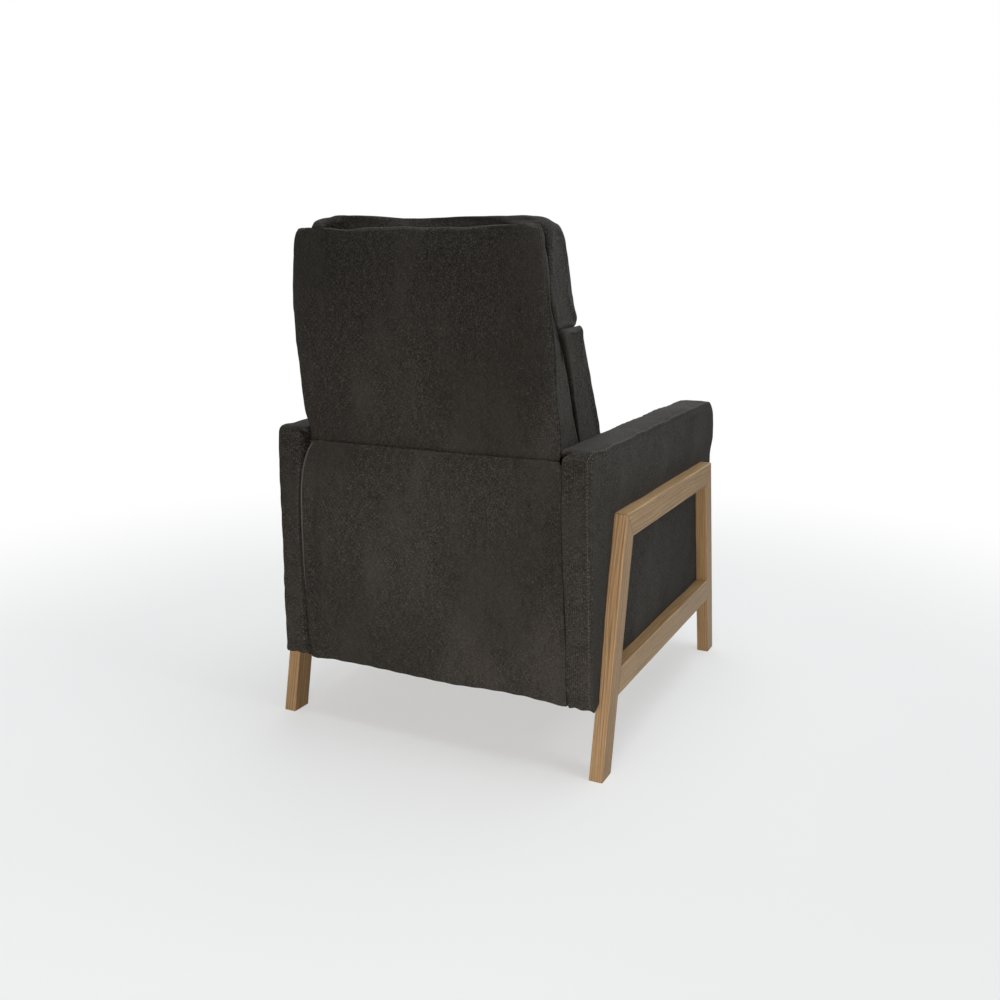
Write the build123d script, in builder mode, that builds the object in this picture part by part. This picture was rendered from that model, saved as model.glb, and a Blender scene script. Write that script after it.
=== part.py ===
# Push-back recliner: upholstered seat and back between two open wood side frames.
# Millimetres. The chair faces -Y, +Z is up, and the origin is on the floor,
# under the middle of the chair's whole width and depth.
# Left and right are the sitter's own: left is +X.
import os
from math import cos, hypot, radians, sin, tan

from build123d import *

os.makedirs("parts", exist_ok=True)

# Wood side frames, seen from the side
overall_width = 720.0
member_thickness = 27.0
leg_depth = 47.0
frame_height = 487.0
top_rail_height = 49.0
lower_rail_height = 52.0
lower_rail_top = 196.0
foot_reach = 397.0
top_reach_front = 286.0
top_reach_rear = 304.0
member_round = 2.5
back_reach = 443.0

# Places along Y are measured from the middle between the feet
mid_y = (foot_reach - back_reach) / 2

# Clearances
soft_gap = 0.3
running_gap = 0.05
open_pivot_gap = 0.3
panel_gap = 3.0
cut_over = 5.0

# Upholstered arms
arm_thickness = 65.0
arm_bottom = 138.0
arm_rear_reach = 408.0
arm_rear_lean = 10.0
arm_front_reach = 386.0
arm_rear_rise = 128.0
arm_front_rise = 148.0
arm_front_lean = 24.0
arm_lean_start = 430.0
arm_front_round = 45.0
arm_corner_round = 13.0
arm_edge_round = 11.0
core_thickness = 22.0
core_inset = 10.0
core_margin = 60.0
core_rise = 51.0

# Rear panel between the arms
panel_bottom = 136.0
panel_top = 590.0
panel_top_side_gap = 9.0
panel_bottom_side_lap = 23.0
panel_reach = 409.0
panel_lean = 9.0
panel_thickness = 19.0
panel_belly = 4.0
panel_round = 5.0
board_thickness = 5.0
board_top_drop = 11.0

# Rails fixed to the arms, which carry the mechanism: the setback is from the front of the seat
base_rail_bottom = 150.0
base_rail_height = 85.0
base_rail_setback = 272.0
cross_rail_height = 44.0
cross_rail_depth = 21.0

# Mechanism plates, in layers from the seat rail outwards
plate_thickness = 4.0
layer_pitch = 5.0
seat_plate_side_gap = 30.5
pin_radius = 4.0
head_radius = 7.5
head_thickness = 2.0
link_radius = 11.0
drive_link_radius = 13.0
tilt_link_radius = 9.0

# Swing links under the seat: they lean back at rest and swing forwards
swing_length = 110.0
swing_lean = 38.0
swing_foot_z = 215.0
swing_rear_reach = 235.0
swing_front_reach = 0.0
torque_tube_radius = 11.0
torque_tube_wall = 1.5

# Seat and its frame
seat_rail_thickness = 22.0
seat_rail_bottom = 356.0
seat_rail_height = 28.0
seat_front_reach = 372.0
seat_cover_front = 27.0
seat_border_round = 9.0
seat_rear_rail_reach = 250.0
seat_side_gap = 6.0
seat_cushion_rear_reach = 117.0
seat_cushion_top = 474.0
seat_cushion_crown = 12.0
seat_front_drop = 341.0
webbing_thickness = 1.6
webbing_width = 50.0
webbing_count = 5

# Back hinge and back
hinge_reach = 345.0
hinge_z = 460.0
back_foot_depth = 117.0
back_foot_z = 593.0
back_low_depth = 105.7
back_low_z = 705.0
back_mid_depth = 83.1
back_mid_z = 809.0
back_high_depth = 40.6
back_high_z = 949.0
back_top_depth = 18.0
back_top_z = 990.0
back_foot_side_gap = 11.0
back_low_side_gap = 4.0
back_mid_side_gap = 5.0
back_high_side_gap = 16.0
back_top_side_gap = 23.0
back_belly = 5.0
back_corner = 16.0
face_foot_reach = 282.0
face_lean = 18.4
tongue_bottom = 452.0
tongue_side_gap = 68.0
tongue_depth = 60.0
stile_width = 30.0
stile_depth = 24.0
stile_foot_reach = 338.0
stile_foot_z = 478.0
stile_lean = 9.8
stile_length = 470.0
back_rail_height = 60.0

# Back cushions
lumbar_bottom = 388.0
lumbar_top = 818.0
lumbar_side_gap = 7.0
lumbar_front_reach = 122.0
lumbar_front_z = 470.0
lumbar_top_front_reach = 262.0
lumbar_belly = 16.0
lumbar_press = 2.0
pillow_bottom = 823.0
pillow_side_gap = 18.0
pillow_top = 1010.0
pillow_front_low_reach = 268.0
pillow_front_high_reach = 322.0
pillow_front_high_z = 994.0
pillow_rear_top_reach = 405.0
pillow_belly = 17.0
cushion_corner = 26.0

# Footrest linkage: setbacks are measured from the front of the seat
drive_pivot_setback = 132.0
drive_pivot_z = 330.0
drive_length = 205.0
drive_rest_angle = -115.0
control_offset = 75.0
control_offset_angle = 8.0
tilt_offset = 40.0
tilt_offset_angle = 81.4
ottoman_pivot_setback = 84.1
ottoman_pivot_z = 243.5
footrest_tube_share = 0.6
footrest_tube_radius = 9.5
ottoman_board_setback = 46.0
ottoman_board_thickness = 12.0
ottoman_pad_thickness = 42.0
ottoman_bottom = 147.0
ottoman_top = 334.0
ottoman_side_gap = 7.0
ottoman_board_inset = 6.0
ottoman_belly = 7.0
ottoman_corner = 11.0

# Fasteners
bolt_radius = 4.0
bolt_head_radius = 8.0
bolt_head_thickness = 5.0
bolt_grip = 15.0
screw_radius = 2.5
screw_head_radius = 5.0

# Shares, chosen by eye, of the sizes that they follow
bolt_place_shares = (0.22, 0.78)
cushion_station_shares = (0.0, 0.5, 0.8, 0.93, 1.0)
cushion_draw_shares = (0.0, 0.0, 0.03, 0.16, 0.65)
corner_bulge_share = 0.42
webbing_span_share = 0.78

# Derived places
half_width = overall_width / 2
frame_inner = half_width - member_thickness
arm_inner = frame_inner - arm_thickness
arm_rear_top = frame_height + arm_rear_rise
arm_front_top = frame_height + arm_front_rise
core_top = frame_height + core_rise
panel_half_top = arm_inner - panel_top_side_gap
panel_half_bottom = arm_inner + panel_bottom_side_lap
seat_plate_inner = arm_inner - seat_plate_side_gap
seat_half_width = arm_inner - seat_side_gap
tongue_half = arm_inner - tongue_side_gap
lumbar_half = arm_inner - lumbar_side_gap
pillow_half = arm_inner - pillow_side_gap
ottoman_half = arm_inner - ottoman_side_gap
drive_pivot_reach = seat_front_reach - drive_pivot_setback
base_rail_front = seat_front_reach - base_rail_setback
ottoman_pivot_reach = seat_front_reach - ottoman_pivot_setback
ottoman_board_reach = seat_front_reach - ottoman_board_setback
swing_layer = seat_plate_inner + layer_pitch
base_layer = swing_layer + layer_pitch
bracket_layer = base_layer + layer_pitch
back_layer = seat_plate_inner - layer_pitch
base_rail_inner = base_layer + plate_thickness
panel_inner_reach = panel_reach - panel_thickness
board_inner_reach = panel_inner_reach - soft_gap - board_thickness
seat_rail_top = seat_rail_bottom + seat_rail_height
rear_slope = (foot_reach - top_reach_rear) / frame_height
front_slope = (foot_reach - top_reach_front) / frame_height


def rear(reach):
    # Y of a place that lies this far behind the middle between the feet
    return mid_y + reach


def front(reach):
    # Y of a place that lies this far in front of the middle between the feet
    return mid_y - reach


def side_plane(x):
    # Seen from the side: local X is +Y, local Y is +Z, and +X is the normal
    return Plane.YZ.offset(x)


def polar(origin, length, angle):
    # A point in the side view; the angle is counted from forwards (-Y) towards up
    return (origin[0] - length * cos(radians(angle)), origin[1] + length * sin(radians(angle)))


def side_name(side):
    return "left" if side > 0 else "right"


def save(part, name):
    part.label = name
    export_step(part, "parts/" + name + ".step")


# Pivots in the side view, as (y, z)
drive_pivot = (front(drive_pivot_reach), drive_pivot_z)
carrier_pivot = polar(drive_pivot, drive_length, drive_rest_angle)
control_pivot = polar(drive_pivot, control_offset, control_offset_angle)
carrier_front_pivot = polar(control_pivot, drive_length, drive_rest_angle)
ottoman_pivot = (front(ottoman_pivot_reach), ottoman_pivot_z)
tilt_rear_pivot = polar(carrier_pivot, tilt_offset, tilt_offset_angle)
tilt_front_pivot = polar(ottoman_pivot, tilt_offset, tilt_offset_angle)
swing_rear_foot = (rear(swing_rear_reach), swing_foot_z)
swing_front_foot = (rear(swing_front_reach), swing_foot_z)
swing_rise = swing_length * cos(radians(swing_lean))
swing_run = swing_length * sin(radians(swing_lean))
swing_rear_head = (swing_rear_foot[0] + swing_run, swing_foot_z + swing_rise)
swing_front_head = (swing_front_foot[0] + swing_run, swing_foot_z + swing_rise)
hinge_point = (rear(hinge_reach), hinge_z)


# Wood members: side-view outlines, extruded through the member's thickness
def rear_leg_y(z, inner=False):
    return rear(foot_reach - rear_slope * z - (leg_depth if inner else 0))


def front_leg_y(z, inner=False):
    return front(foot_reach - front_slope * z - (leg_depth if inner else 0))


opening_top = frame_height - top_rail_height
lower_rail_bottom = lower_rail_top - lower_rail_height
bolt_heights = (opening_top + top_rail_height / 2, lower_rail_bottom + lower_rail_height / 2)


def bolt_places(height):
    # Two bolts along a rail at this height
    rail_front = front_leg_y(height, True)
    rail_rear = rear_leg_y(height, True)
    return [(rail_front + share * (rail_rear - rail_front), height) for share in bolt_place_shares]


all_bolts = [place for height in bolt_heights for place in bolt_places(height)]


def drill(plane, places, radius, depth):
    # Round holes through the part that is being built
    with BuildSketch(plane) as holes:
        with Locations(*places):
            Circle(radius)
    extrude(holes.sketch, amount=depth, mode=Mode.SUBTRACT)


def wood_member(side, points, bolts):
    with BuildPart() as member:
        with BuildSketch(side_plane(side * frame_inner)):
            with BuildLine():
                Polyline(*points, close=True)
            make_face()
        extrude(amount=side * member_thickness)
        long_edges = [e for e in member.edges() if e.length > opening_top / 2]
        fillet(long_edges, radius=member_round)
        if bolts:
            drill(side_plane(side * frame_inner), bolts, bolt_radius + running_gap, side * (bolt_grip + soft_gap))
    return member.part


for side in (1, -1):
    tag = side_name(side)
    leg_outline = [
        (rear_leg_y(0), 0),
        (rear_leg_y(frame_height), frame_height),
        (rear_leg_y(opening_top, True), opening_top),
        (rear_leg_y(0, True), 0),
    ]
    save(wood_member(side, leg_outline, []), "rear_leg_" + tag)
    leg_outline = [
        (front_leg_y(0), 0),
        (front_leg_y(frame_height), frame_height),
        (front_leg_y(opening_top, True), opening_top),
        (front_leg_y(0, True), 0),
    ]
    save(wood_member(side, leg_outline, []), "front_leg_" + tag)
    rail_outline = [
        (rear_leg_y(frame_height), frame_height),
        (front_leg_y(frame_height), frame_height),
        (front_leg_y(opening_top, True), opening_top),
        (rear_leg_y(opening_top, True), opening_top),
    ]
    save(wood_member(side, rail_outline, bolt_places(bolt_heights[0])), "arm_rail_" + tag)
    rail_outline = [
        (rear_leg_y(lower_rail_top, True), lower_rail_top),
        (front_leg_y(lower_rail_top, True), lower_rail_top),
        (front_leg_y(lower_rail_bottom, True), lower_rail_bottom),
        (rear_leg_y(lower_rail_bottom, True), lower_rail_bottom),
    ]
    save(wood_member(side, rail_outline, bolt_places(bolt_heights[1])), "lower_rail_" + tag)


# Arms: a padded slab with a rounded front top, over a board open at the bottom
def panel_half(z):
    share = (z - panel_bottom) / (panel_top - panel_bottom)
    return panel_half_bottom + share * (panel_half_top - panel_half_bottom)


core_outer = frame_inner - core_inset
core_inner = core_outer - core_thickness
core_front = front(arm_front_reach - core_margin)
core_rear = rear(arm_rear_reach - core_margin)

for side in (1, -1):
    tag = side_name(side)
    with BuildPart() as arm_pad:
        with BuildSketch(side_plane(side * arm_inner)) as arm_side:
            with BuildLine():
                Polyline(
                    (rear(arm_rear_reach), arm_bottom),
                    (rear(arm_rear_reach + arm_rear_lean), arm_rear_top),
                    (front(arm_front_reach - arm_front_lean), arm_front_top),
                    (front(arm_front_reach), arm_lean_start),
                    (front(arm_front_reach), arm_bottom),
                    close=True,
                )
            make_face()
            by_height = arm_side.vertices().sort_by(Axis.Y)
            fillet(by_height[-1], radius=arm_front_round)
            fillet(by_height[:2] + by_height[-2:-1], radius=arm_corner_round)
        extrude(amount=side * (arm_thickness - soft_gap))
        fillet(arm_pad.faces().filter_by(Axis.X).edges(), radius=arm_edge_round)
        cut_from = arm_rear_reach + arm_rear_lean + cut_over
        with BuildSketch(Plane.XZ.offset(-rear(cut_from))):
            with BuildLine():
                Polyline(
                    (0, panel_bottom - cut_over * 2),
                    (side * (panel_half(panel_bottom - cut_over * 2) + panel_gap), panel_bottom - cut_over * 2),
                    (side * (panel_half(panel_top + panel_gap) + panel_gap), panel_top + panel_gap),
                    (0, panel_top + panel_gap),
                    close=True,
                )
            make_face()
        extrude(amount=cut_from - board_inner_reach, mode=Mode.SUBTRACT)
        with BuildSketch(side_plane(side * core_inner)):
            with BuildLine():
                Polyline(
                    (core_rear, arm_bottom - cut_over),
                    (core_rear, core_top),
                    (core_front, core_top),
                    (core_front, arm_bottom - cut_over),
                    close=True,
                )
            make_face()
        extrude(amount=side * core_thickness, mode=Mode.SUBTRACT)
        drill(side_plane(side * core_outer), all_bolts, bolt_radius + soft_gap, side * (core_inset + cut_over))
    save(arm_pad.part, "arm_pad_" + tag)

    with BuildPart() as arm_core:
        with BuildSketch(side_plane(side * (core_inner + soft_gap))):
            with BuildLine():
                Polyline(
                    (core_rear - soft_gap, arm_bottom + core_inset),
                    (core_rear - soft_gap, core_top - soft_gap),
                    (core_front + soft_gap, core_top - soft_gap),
                    (core_front + soft_gap, arm_bottom + core_inset),
                    close=True,
                )
            make_face()
        extrude(amount=side * (core_thickness - 2 * soft_gap))
        drill(side_plane(side * (core_inner - cut_over)), all_bolts, bolt_radius + running_gap,
              side * (core_thickness + 2 * cut_over))
        drill(side_plane(side * (core_inner - cut_over)), all_bolts, bolt_head_radius + running_gap,
              side * (cut_over + bolt_head_thickness + 2 * soft_gap))
    save(arm_core.part, "arm_core_" + tag)


def cylinder_between(side, place, radius, x_from, x_to):
    # A round bar across the chair at a place in the side view
    with BuildSketch(side_plane(side * x_from)) as disc:
        with Locations(place):
            Circle(radius)
    extrude(disc.sketch, amount=side * (x_to - x_from))


def screw(side, place, x_head, length):
    cylinder_between(side, place, screw_head_radius, x_head - head_thickness, x_head)
    cylinder_between(side, place, screw_radius, x_head, x_head + length)


# The arm's bolts into the wood rails, and the screws of the mechanism's base plates
plate_foot_z = base_rail_bottom + link_radius * 2
screw_places = [
    (swing_front_foot[0], plate_foot_z),
    ((swing_front_foot[0] + swing_rear_foot[0]) / 2, plate_foot_z),
    (swing_rear_foot[0], plate_foot_z),
]
with BuildPart() as arm_bolts:
    head_from = core_inner + 2 * soft_gap
    head_to = head_from + bolt_head_thickness
    for side in (1, -1):
        for place in all_bolts:
            with BuildSketch(side_plane(side * head_from)):
                with Locations(place):
                    RegularPolygon(radius=bolt_head_radius, side_count=6)
            extrude(amount=side * bolt_head_thickness)
            cylinder_between(side, place, bolt_radius, head_to, frame_inner + bolt_grip)
        for place in screw_places:
            screw(side, place, base_layer, plate_thickness)
save(arm_bolts.part, "frame_bolts_and_screws")


# Level sections, straight in front and crowned behind, for what is lofted upwards
def level_section(z, half, y_front, y_rear, belly, corner):
    depth = y_rear - y_front
    r = min(corner, depth / 2)
    s = r * (1 - cos(radians(45)))
    with BuildSketch(Plane.XY.offset(z)) as section:
        with BuildLine():
            Line((-half, y_front), (half, y_front))
            Line((half, y_front), (half, y_rear - r))
            ThreePointArc((half, y_rear - r), (half - s, y_rear - s), (half - r, y_rear))
            ThreePointArc((half - r, y_rear), (0, y_rear + belly), (r - half, y_rear))
            ThreePointArc((r - half, y_rear), (s - half, y_rear - s), (-half, y_rear - r))
            Line((-half, y_rear - r), (-half, y_front))
        make_face()
    return section.sketch


# Rear panel: soft, wider below, standing a little back at its top
def panel_section(z):
    share = (panel_top - z) / (panel_top - panel_bottom)
    rear_reach = panel_reach - panel_belly - share * panel_lean
    return level_section(z, panel_half(z), rear(panel_inner_reach), rear(rear_reach), panel_belly, panel_round)


with BuildPart() as rear_panel:
    panel_middle = (panel_bottom + panel_top) / 2
    loft([panel_section(z) for z in (panel_bottom, panel_middle, panel_top)])
save(rear_panel.part, "rear_panel")

with BuildPart() as panel_board:
    # its top stays clear of the back's lower edge, which dips behind the arms as the back reclines
    low = panel_bottom + panel_gap
    high = panel_top - board_top_drop
    with BuildSketch(Plane.XZ.offset(-rear(panel_inner_reach - soft_gap))):
        with BuildLine():
            Polyline(
                (-panel_half(low), low),
                (panel_half(low), low),
                (panel_half(high), high),
                (-panel_half(high), high),
                close=True,
            )
        make_face()
    extrude(amount=board_thickness)
save(panel_board.part, "rear_panel_board")


# Rails that carry the mechanism
def box_between(x_span, y_span, z_span, mode=Mode.ADD):
    x_from, x_to = x_span
    y_from, y_to = y_span
    z_from, z_to = z_span
    with BuildSketch(Plane.XY.offset(z_from)) as base:
        with Locations(((x_from + x_to) / 2, (y_from + y_to) / 2)):
            Rectangle(abs(x_to - x_from), abs(y_to - y_from))
    extrude(base.sketch, amount=z_to - z_from, mode=mode)


base_rail_rear = board_inner_reach - soft_gap
base_rail_top = base_rail_bottom + base_rail_height
for side in (1, -1):
    with BuildPart() as base_rail:
        box_between(
            (side * base_rail_inner, side * (arm_inner - soft_gap)),
            (front(base_rail_front), rear(base_rail_rear)),
            (base_rail_bottom, base_rail_top),
        )
    save(base_rail.part, "base_rail_" + side_name(side))

with BuildPart() as front_cross_rail:
    box_between(
        (-base_rail_inner, base_rail_inner),
        (front(base_rail_front), front(base_rail_front - cross_rail_depth)),
        (base_rail_bottom, base_rail_bottom + cross_rail_height),
    )
save(front_cross_rail.part, "front_cross_rail")

with BuildPart() as rear_cross_rail:
    box_between(
        (-base_rail_inner, base_rail_inner),
        (rear(base_rail_rear - cross_rail_depth), rear(base_rail_rear)),
        (base_rail_bottom, base_rail_bottom + cross_rail_height),
    )
save(rear_cross_rail.part, "rear_cross_rail")


# Flat links and plates: the hull of a circle round each pivot
def hull_plate(side, x_inner, centres, radius):
    with BuildSketch(side_plane(side * x_inner)) as outline:
        with Locations(*centres):
            Circle(radius)
        make_hull()
    extrude(outline.sketch, amount=side * plate_thickness)


def pierce(side, x_inner, places, radius):
    drill(side_plane(side * (x_inner - cut_over)), places, radius, side * (plate_thickness + 2 * cut_over))


def link(side, x_inner, centres, radius, open_holes=()):
    with BuildPart() as plate:
        hull_plate(side, x_inner, centres, radius)
        for place in centres:
            gap = open_pivot_gap if place in open_holes else running_gap
            pierce(side, x_inner, [place], pin_radius + gap)
    return plate.part


def rivet(side, place, x_inner, x_outer, inner_head=True, outer_head=True):
    cylinder_between(side, place, pin_radius, x_inner, x_outer)
    if inner_head:
        cylinder_between(side, place, head_radius, x_inner - head_thickness, x_inner)
    if outer_head:
        cylinder_between(side, place, head_radius, x_outer, x_outer + head_thickness)


# Base plates, screwed to the base rails, with the swing links' lower pivots
for side in (1, -1):
    with BuildPart() as base_plate:
        corners = [swing_front_foot, swing_rear_foot, screw_places[0], screw_places[2]]
        hull_plate(side, base_layer, corners, drive_link_radius)
        pierce(side, base_layer, [swing_front_foot, swing_rear_foot], pin_radius + running_gap)
        pierce(side, base_layer, screw_places, screw_radius + running_gap)
    save(base_plate.part, "mechanism_base_plate_" + side_name(side))

with BuildPart() as base_rivets:
    for side in (1, -1):
        for place in (swing_front_foot, swing_rear_foot):
            rivet(side, place, swing_layer, base_layer + plate_thickness, outer_head=False)
save(base_rivets.part, "base_pivot_rivets")

for side in (1, -1):
    front_link = link(side, swing_layer, [swing_front_foot, swing_front_head], link_radius, [swing_front_head])
    save(front_link, "front_swing_link_" + side_name(side))
    rear_link = link(side, swing_layer, [swing_rear_foot, swing_rear_head], link_radius)
    save(rear_link, "rear_swing_link_" + side_name(side))


def cross_tube(place, radius, wall, half_length):
    # A thin tube across the chair, between the inner faces of two links
    with BuildSketch(side_plane(-half_length)) as ring:
        with Locations(place):
            Circle(radius)
            Circle(radius - wall, mode=Mode.SUBTRACT)
    extrude(ring.sketch, amount=2 * half_length)


with BuildPart() as swing_tube:
    middle = ((swing_rear_foot[0] + swing_rear_head[0]) / 2, (swing_rear_foot[1] + swing_rear_head[1]) / 2)
    cross_tube(middle, torque_tube_radius, torque_tube_wall, swing_layer)
save(swing_tube.part, "swing_torque_tube")


# Seat plates: one each side, from the footrest pivots to the back hinge
rail_line = seat_rail_bottom + seat_rail_height / 2
plate_top_front = (control_pivot[0], rail_line)
plate_top_rear = (rear(seat_rear_rail_reach + seat_rail_thickness * 2), rail_line)
for side in (1, -1):
    with BuildPart() as seat_plate:
        lower = [drive_pivot, control_pivot, swing_front_head, swing_rear_head]
        hull_plate(side, seat_plate_inner, lower + [plate_top_front, plate_top_rear], drive_link_radius)
        hull_plate(side, seat_plate_inner, [swing_rear_head, plate_top_rear, hinge_point], drive_link_radius)
        pierce(side, seat_plate_inner, lower + [hinge_point], pin_radius + running_gap)
    save(seat_plate.part, "seat_plate_" + side_name(side))

with BuildPart() as seat_rivets:
    for side in (1, -1):
        for place in (drive_pivot, control_pivot, swing_front_head, swing_rear_head):
            rivet(side, place, seat_plate_inner, swing_layer + plate_thickness)
        rivet(side, hinge_point, back_layer, seat_plate_inner + plate_thickness)
save(seat_rivets.part, "seat_pivot_rivets")


# Seat frame of four rails, with webbing under the cushion
seat_rail_front_reach = seat_front_reach - seat_cover_front
rail_z = (seat_rail_bottom, seat_rail_top)
front_rail_rear = front(seat_rail_front_reach - seat_rail_thickness)
rear_rail_front = rear(seat_rear_rail_reach - seat_rail_thickness)
with BuildPart() as seat_rail_front:
    box_between((-seat_plate_inner, seat_plate_inner), (front(seat_rail_front_reach), front_rail_rear), rail_z)
save(seat_rail_front.part, "seat_rail_front")
with BuildPart() as seat_rail_rear:
    box_between((-seat_plate_inner, seat_plate_inner), (rear_rail_front, rear(seat_rear_rail_reach)), rail_z)
save(seat_rail_rear.part, "seat_rail_rear")
for side in (1, -1):
    with BuildPart() as seat_rail_side:
        x_span = (side * (seat_plate_inner - seat_rail_thickness), side * seat_plate_inner)
        box_between(x_span, (front_rail_rear, rear_rail_front), rail_z)
    save(seat_rail_side.part, "seat_rail_" + side_name(side))

with BuildPart() as seat_webbing:
    span = 2 * (seat_plate_inner - seat_rail_thickness) * webbing_span_share
    for index in range(webbing_count):
        centre = span * (index / (webbing_count - 1) - 1 / 2)
        box_between(
            (centre - webbing_width / 2, centre + webbing_width / 2),
            (front(seat_rail_front_reach), rear(seat_rear_rail_reach)),
            (seat_rail_top, seat_rail_top + webbing_thickness),
        )
save(seat_webbing.part, "seat_webbing")


# Cushions: side outlines with rounded corners and bellied sides, lofted across the
# chair through stations where the outline draws in towards the ends
def corner_points(points, index, corner):
    # Where the rounding of this corner starts and ends on its two sides
    here = points[index]
    ends = []
    for other in (points[index - 1], points[(index + 1) % len(points)]):
        run = (other[0] - here[0], other[1] - here[1])
        length = hypot(*run)
        ends.append((here[0] + run[0] * corner / length, here[1] + run[1] * corner / length))
    return ends


def bulged(start, end, belly):
    # The middle point of an arc between two points, pushed out by the belly;
    # points run anticlockwise seen with +Y to the right and +Z up
    run = (end[0] - start[0], end[1] - start[1])
    length = hypot(*run)
    middle = ((start[0] + end[0]) / 2, (start[1] + end[1]) / 2)
    return (middle[0] + run[1] * belly / length, middle[1] - run[0] * belly / length)


def cushion_section(x, points, bellies, corner):
    count = len(points)
    trimmed = [corner_points(points, index, corner) for index in range(count)]
    with BuildSketch(side_plane(x)) as section:
        with BuildLine():
            for index in range(count):
                arrive, leave = trimmed[index]
                following = trimmed[(index + 1) % count][0]
                chord = hypot(leave[0] - arrive[0], leave[1] - arrive[1])
                ThreePointArc(arrive, bulged(arrive, leave, chord * corner_bulge_share / 2), leave)
                if bellies[index] > 0:
                    ThreePointArc(leave, bulged(leave, following, bellies[index]), following)
                else:
                    Line(leave, following)
        make_face()
    return section.sketch


def drawn_in(points, inset):
    mid_point = (sum(p[0] for p in points) / len(points), sum(p[1] for p in points) / len(points))
    moved = []
    for point in points:
        step_y = inset if point[0] < mid_point[0] else -inset
        step_z = inset if point[1] < mid_point[1] else -inset
        moved.append((point[0] + step_y, point[1] + step_z))
    return moved


def cushion_solid(points, bellies, half, corner):
    stations = []
    for share, draw in zip(cushion_station_shares, cushion_draw_shares):
        stations.append((half * share, corner * draw, draw))
    both = [(-x, inset, draw) for x, inset, draw in reversed(stations[1:])] + stations
    sections = []
    for x, inset, draw in both:
        flatter = [belly * (1 - draw) for belly in bellies]
        sections.append(cushion_section(x, drawn_in(points, inset), flatter, corner * (1 - draw / 2)))
    return loft(sections)


cushion_bottom = seat_rail_top + webbing_thickness + soft_gap
seat_outline = [
    (front(seat_front_reach), cushion_bottom),
    (rear(seat_cushion_rear_reach), cushion_bottom),
    (rear(seat_cushion_rear_reach), seat_cushion_top - seat_cushion_crown),
    (front(seat_front_reach), seat_cushion_top - seat_cushion_crown),
]
with BuildPart() as seat_cushion:
    add(cushion_solid(seat_outline, [0, 0, seat_cushion_crown, 0], seat_half_width, cushion_corner))
    box_between(
        (-half_width, half_width),
        (front(seat_front_reach + cut_over), rear(seat_cushion_rear_reach + cut_over)),
        (seat_rail_top, cushion_bottom),
        Mode.SUBTRACT,
    )
save(seat_cushion.part, "seat_cushion")

with BuildPart() as seat_border:
    box_between(
        (-seat_half_width, seat_half_width),
        (front(seat_front_reach), front(seat_rail_front_reach + soft_gap)),
        (seat_front_drop, cushion_bottom - soft_gap),
    )
    fillet(seat_border.faces().sort_by(Axis.Y)[0].edges(), radius=seat_border_round)
save(seat_border.part, "seat_front_border")


# Back: a wooden frame on the hinge brackets, padded, with two loose-looking cushions
def face_y(z):
    # Y of the slanted face between the back's padding and its cushions
    return rear(face_foot_reach + (z - back_foot_z) * tan(radians(face_lean)))


def stile_point(length, offset):
    # A point at this length up the leaning stile, this far behind its middle line
    y = rear(stile_foot_reach) + length * sin(radians(stile_lean)) + offset * cos(radians(stile_lean))
    z = stile_foot_z + length * cos(radians(stile_lean)) - offset * sin(radians(stile_lean))
    return (y, z)


def frame_bar(x_from, x_to, start, end, half_depth, mode=Mode.ADD):
    # A bar of the back frame between two widths and two lengths up the stiles
    with BuildSketch(side_plane(x_from)) as outline:
        with BuildLine():
            Polyline(
                stile_point(start, -half_depth),
                stile_point(start, half_depth),
                stile_point(end, half_depth),
                stile_point(end, -half_depth),
                close=True,
            )
        make_face()
    extrude(outline.sketch, amount=x_to - x_from, mode=mode)


stile_outer = back_layer
stile_inner = stile_outer - stile_width
rail_starts = (stile_length - back_rail_height, back_foot_z - stile_foot_z + stile_width)
with BuildPart() as back_frame:
    for side in (1, -1):
        frame_bar(side * stile_inner, side * stile_outer, 0, stile_length, stile_depth / 2)
    for start in rail_starts:
        frame_bar(soft_gap - stile_inner, stile_inner - soft_gap, start, start + back_rail_height, stile_depth / 2)
save(back_frame.part, "back_frame")

back_shape = [
    (back_foot_z, back_foot_side_gap, back_foot_depth),
    (back_low_z, back_low_side_gap, back_low_depth),
    (back_mid_z, back_mid_side_gap, back_mid_depth),
    (back_high_z, back_high_side_gap, back_high_depth),
    (back_top_z, back_top_side_gap, back_top_depth),
]
with BuildPart() as back_upholstery:
    back_sections = []
    for z, side_gap, depth in back_shape:
        y_rear = face_y(z) + depth - back_belly
        back_sections.append(level_section(z, arm_inner - side_gap, face_y(z), y_rear, back_belly, back_corner))
    loft(back_sections)
    with BuildSketch(side_plane(-tongue_half)):
        with BuildLine():
            Polyline(
                (face_y(tongue_bottom), tongue_bottom),
                (face_y(tongue_bottom) + tongue_depth, tongue_bottom),
                (face_y(back_foot_z) + tongue_depth, back_foot_z),
                (face_y(back_foot_z), back_foot_z),
                close=True,
            )
        make_face()
    extrude(amount=2 * tongue_half)
    pocket_half = stile_depth / 2 + soft_gap
    pocket_end = stile_length + soft_gap
    for side in (1, -1):
        x_from = side * (stile_inner - soft_gap)
        x_to = side * (stile_outer + soft_gap)
        frame_bar(x_from, x_to, 0, pocket_end, pocket_half, Mode.SUBTRACT)
    for start in rail_starts:
        frame_bar(-stile_inner, stile_inner, start - soft_gap, start + back_rail_height + soft_gap, pocket_half,
                  Mode.SUBTRACT)
save(back_upholstery.part, "back_upholstery")

bracket_places = [stile_point(stile_width, 0), stile_point(stile_width * 3, 0)]
for side in (1, -1):
    with BuildPart() as back_bracket:
        hull_plate(side, back_layer, [hinge_point] + bracket_places, drive_link_radius)
        pierce(side, back_layer, [hinge_point], pin_radius + running_gap)
        pierce(side, back_layer, bracket_places, screw_radius + running_gap)
    save(back_bracket.part, "back_bracket_" + side_name(side))

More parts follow.
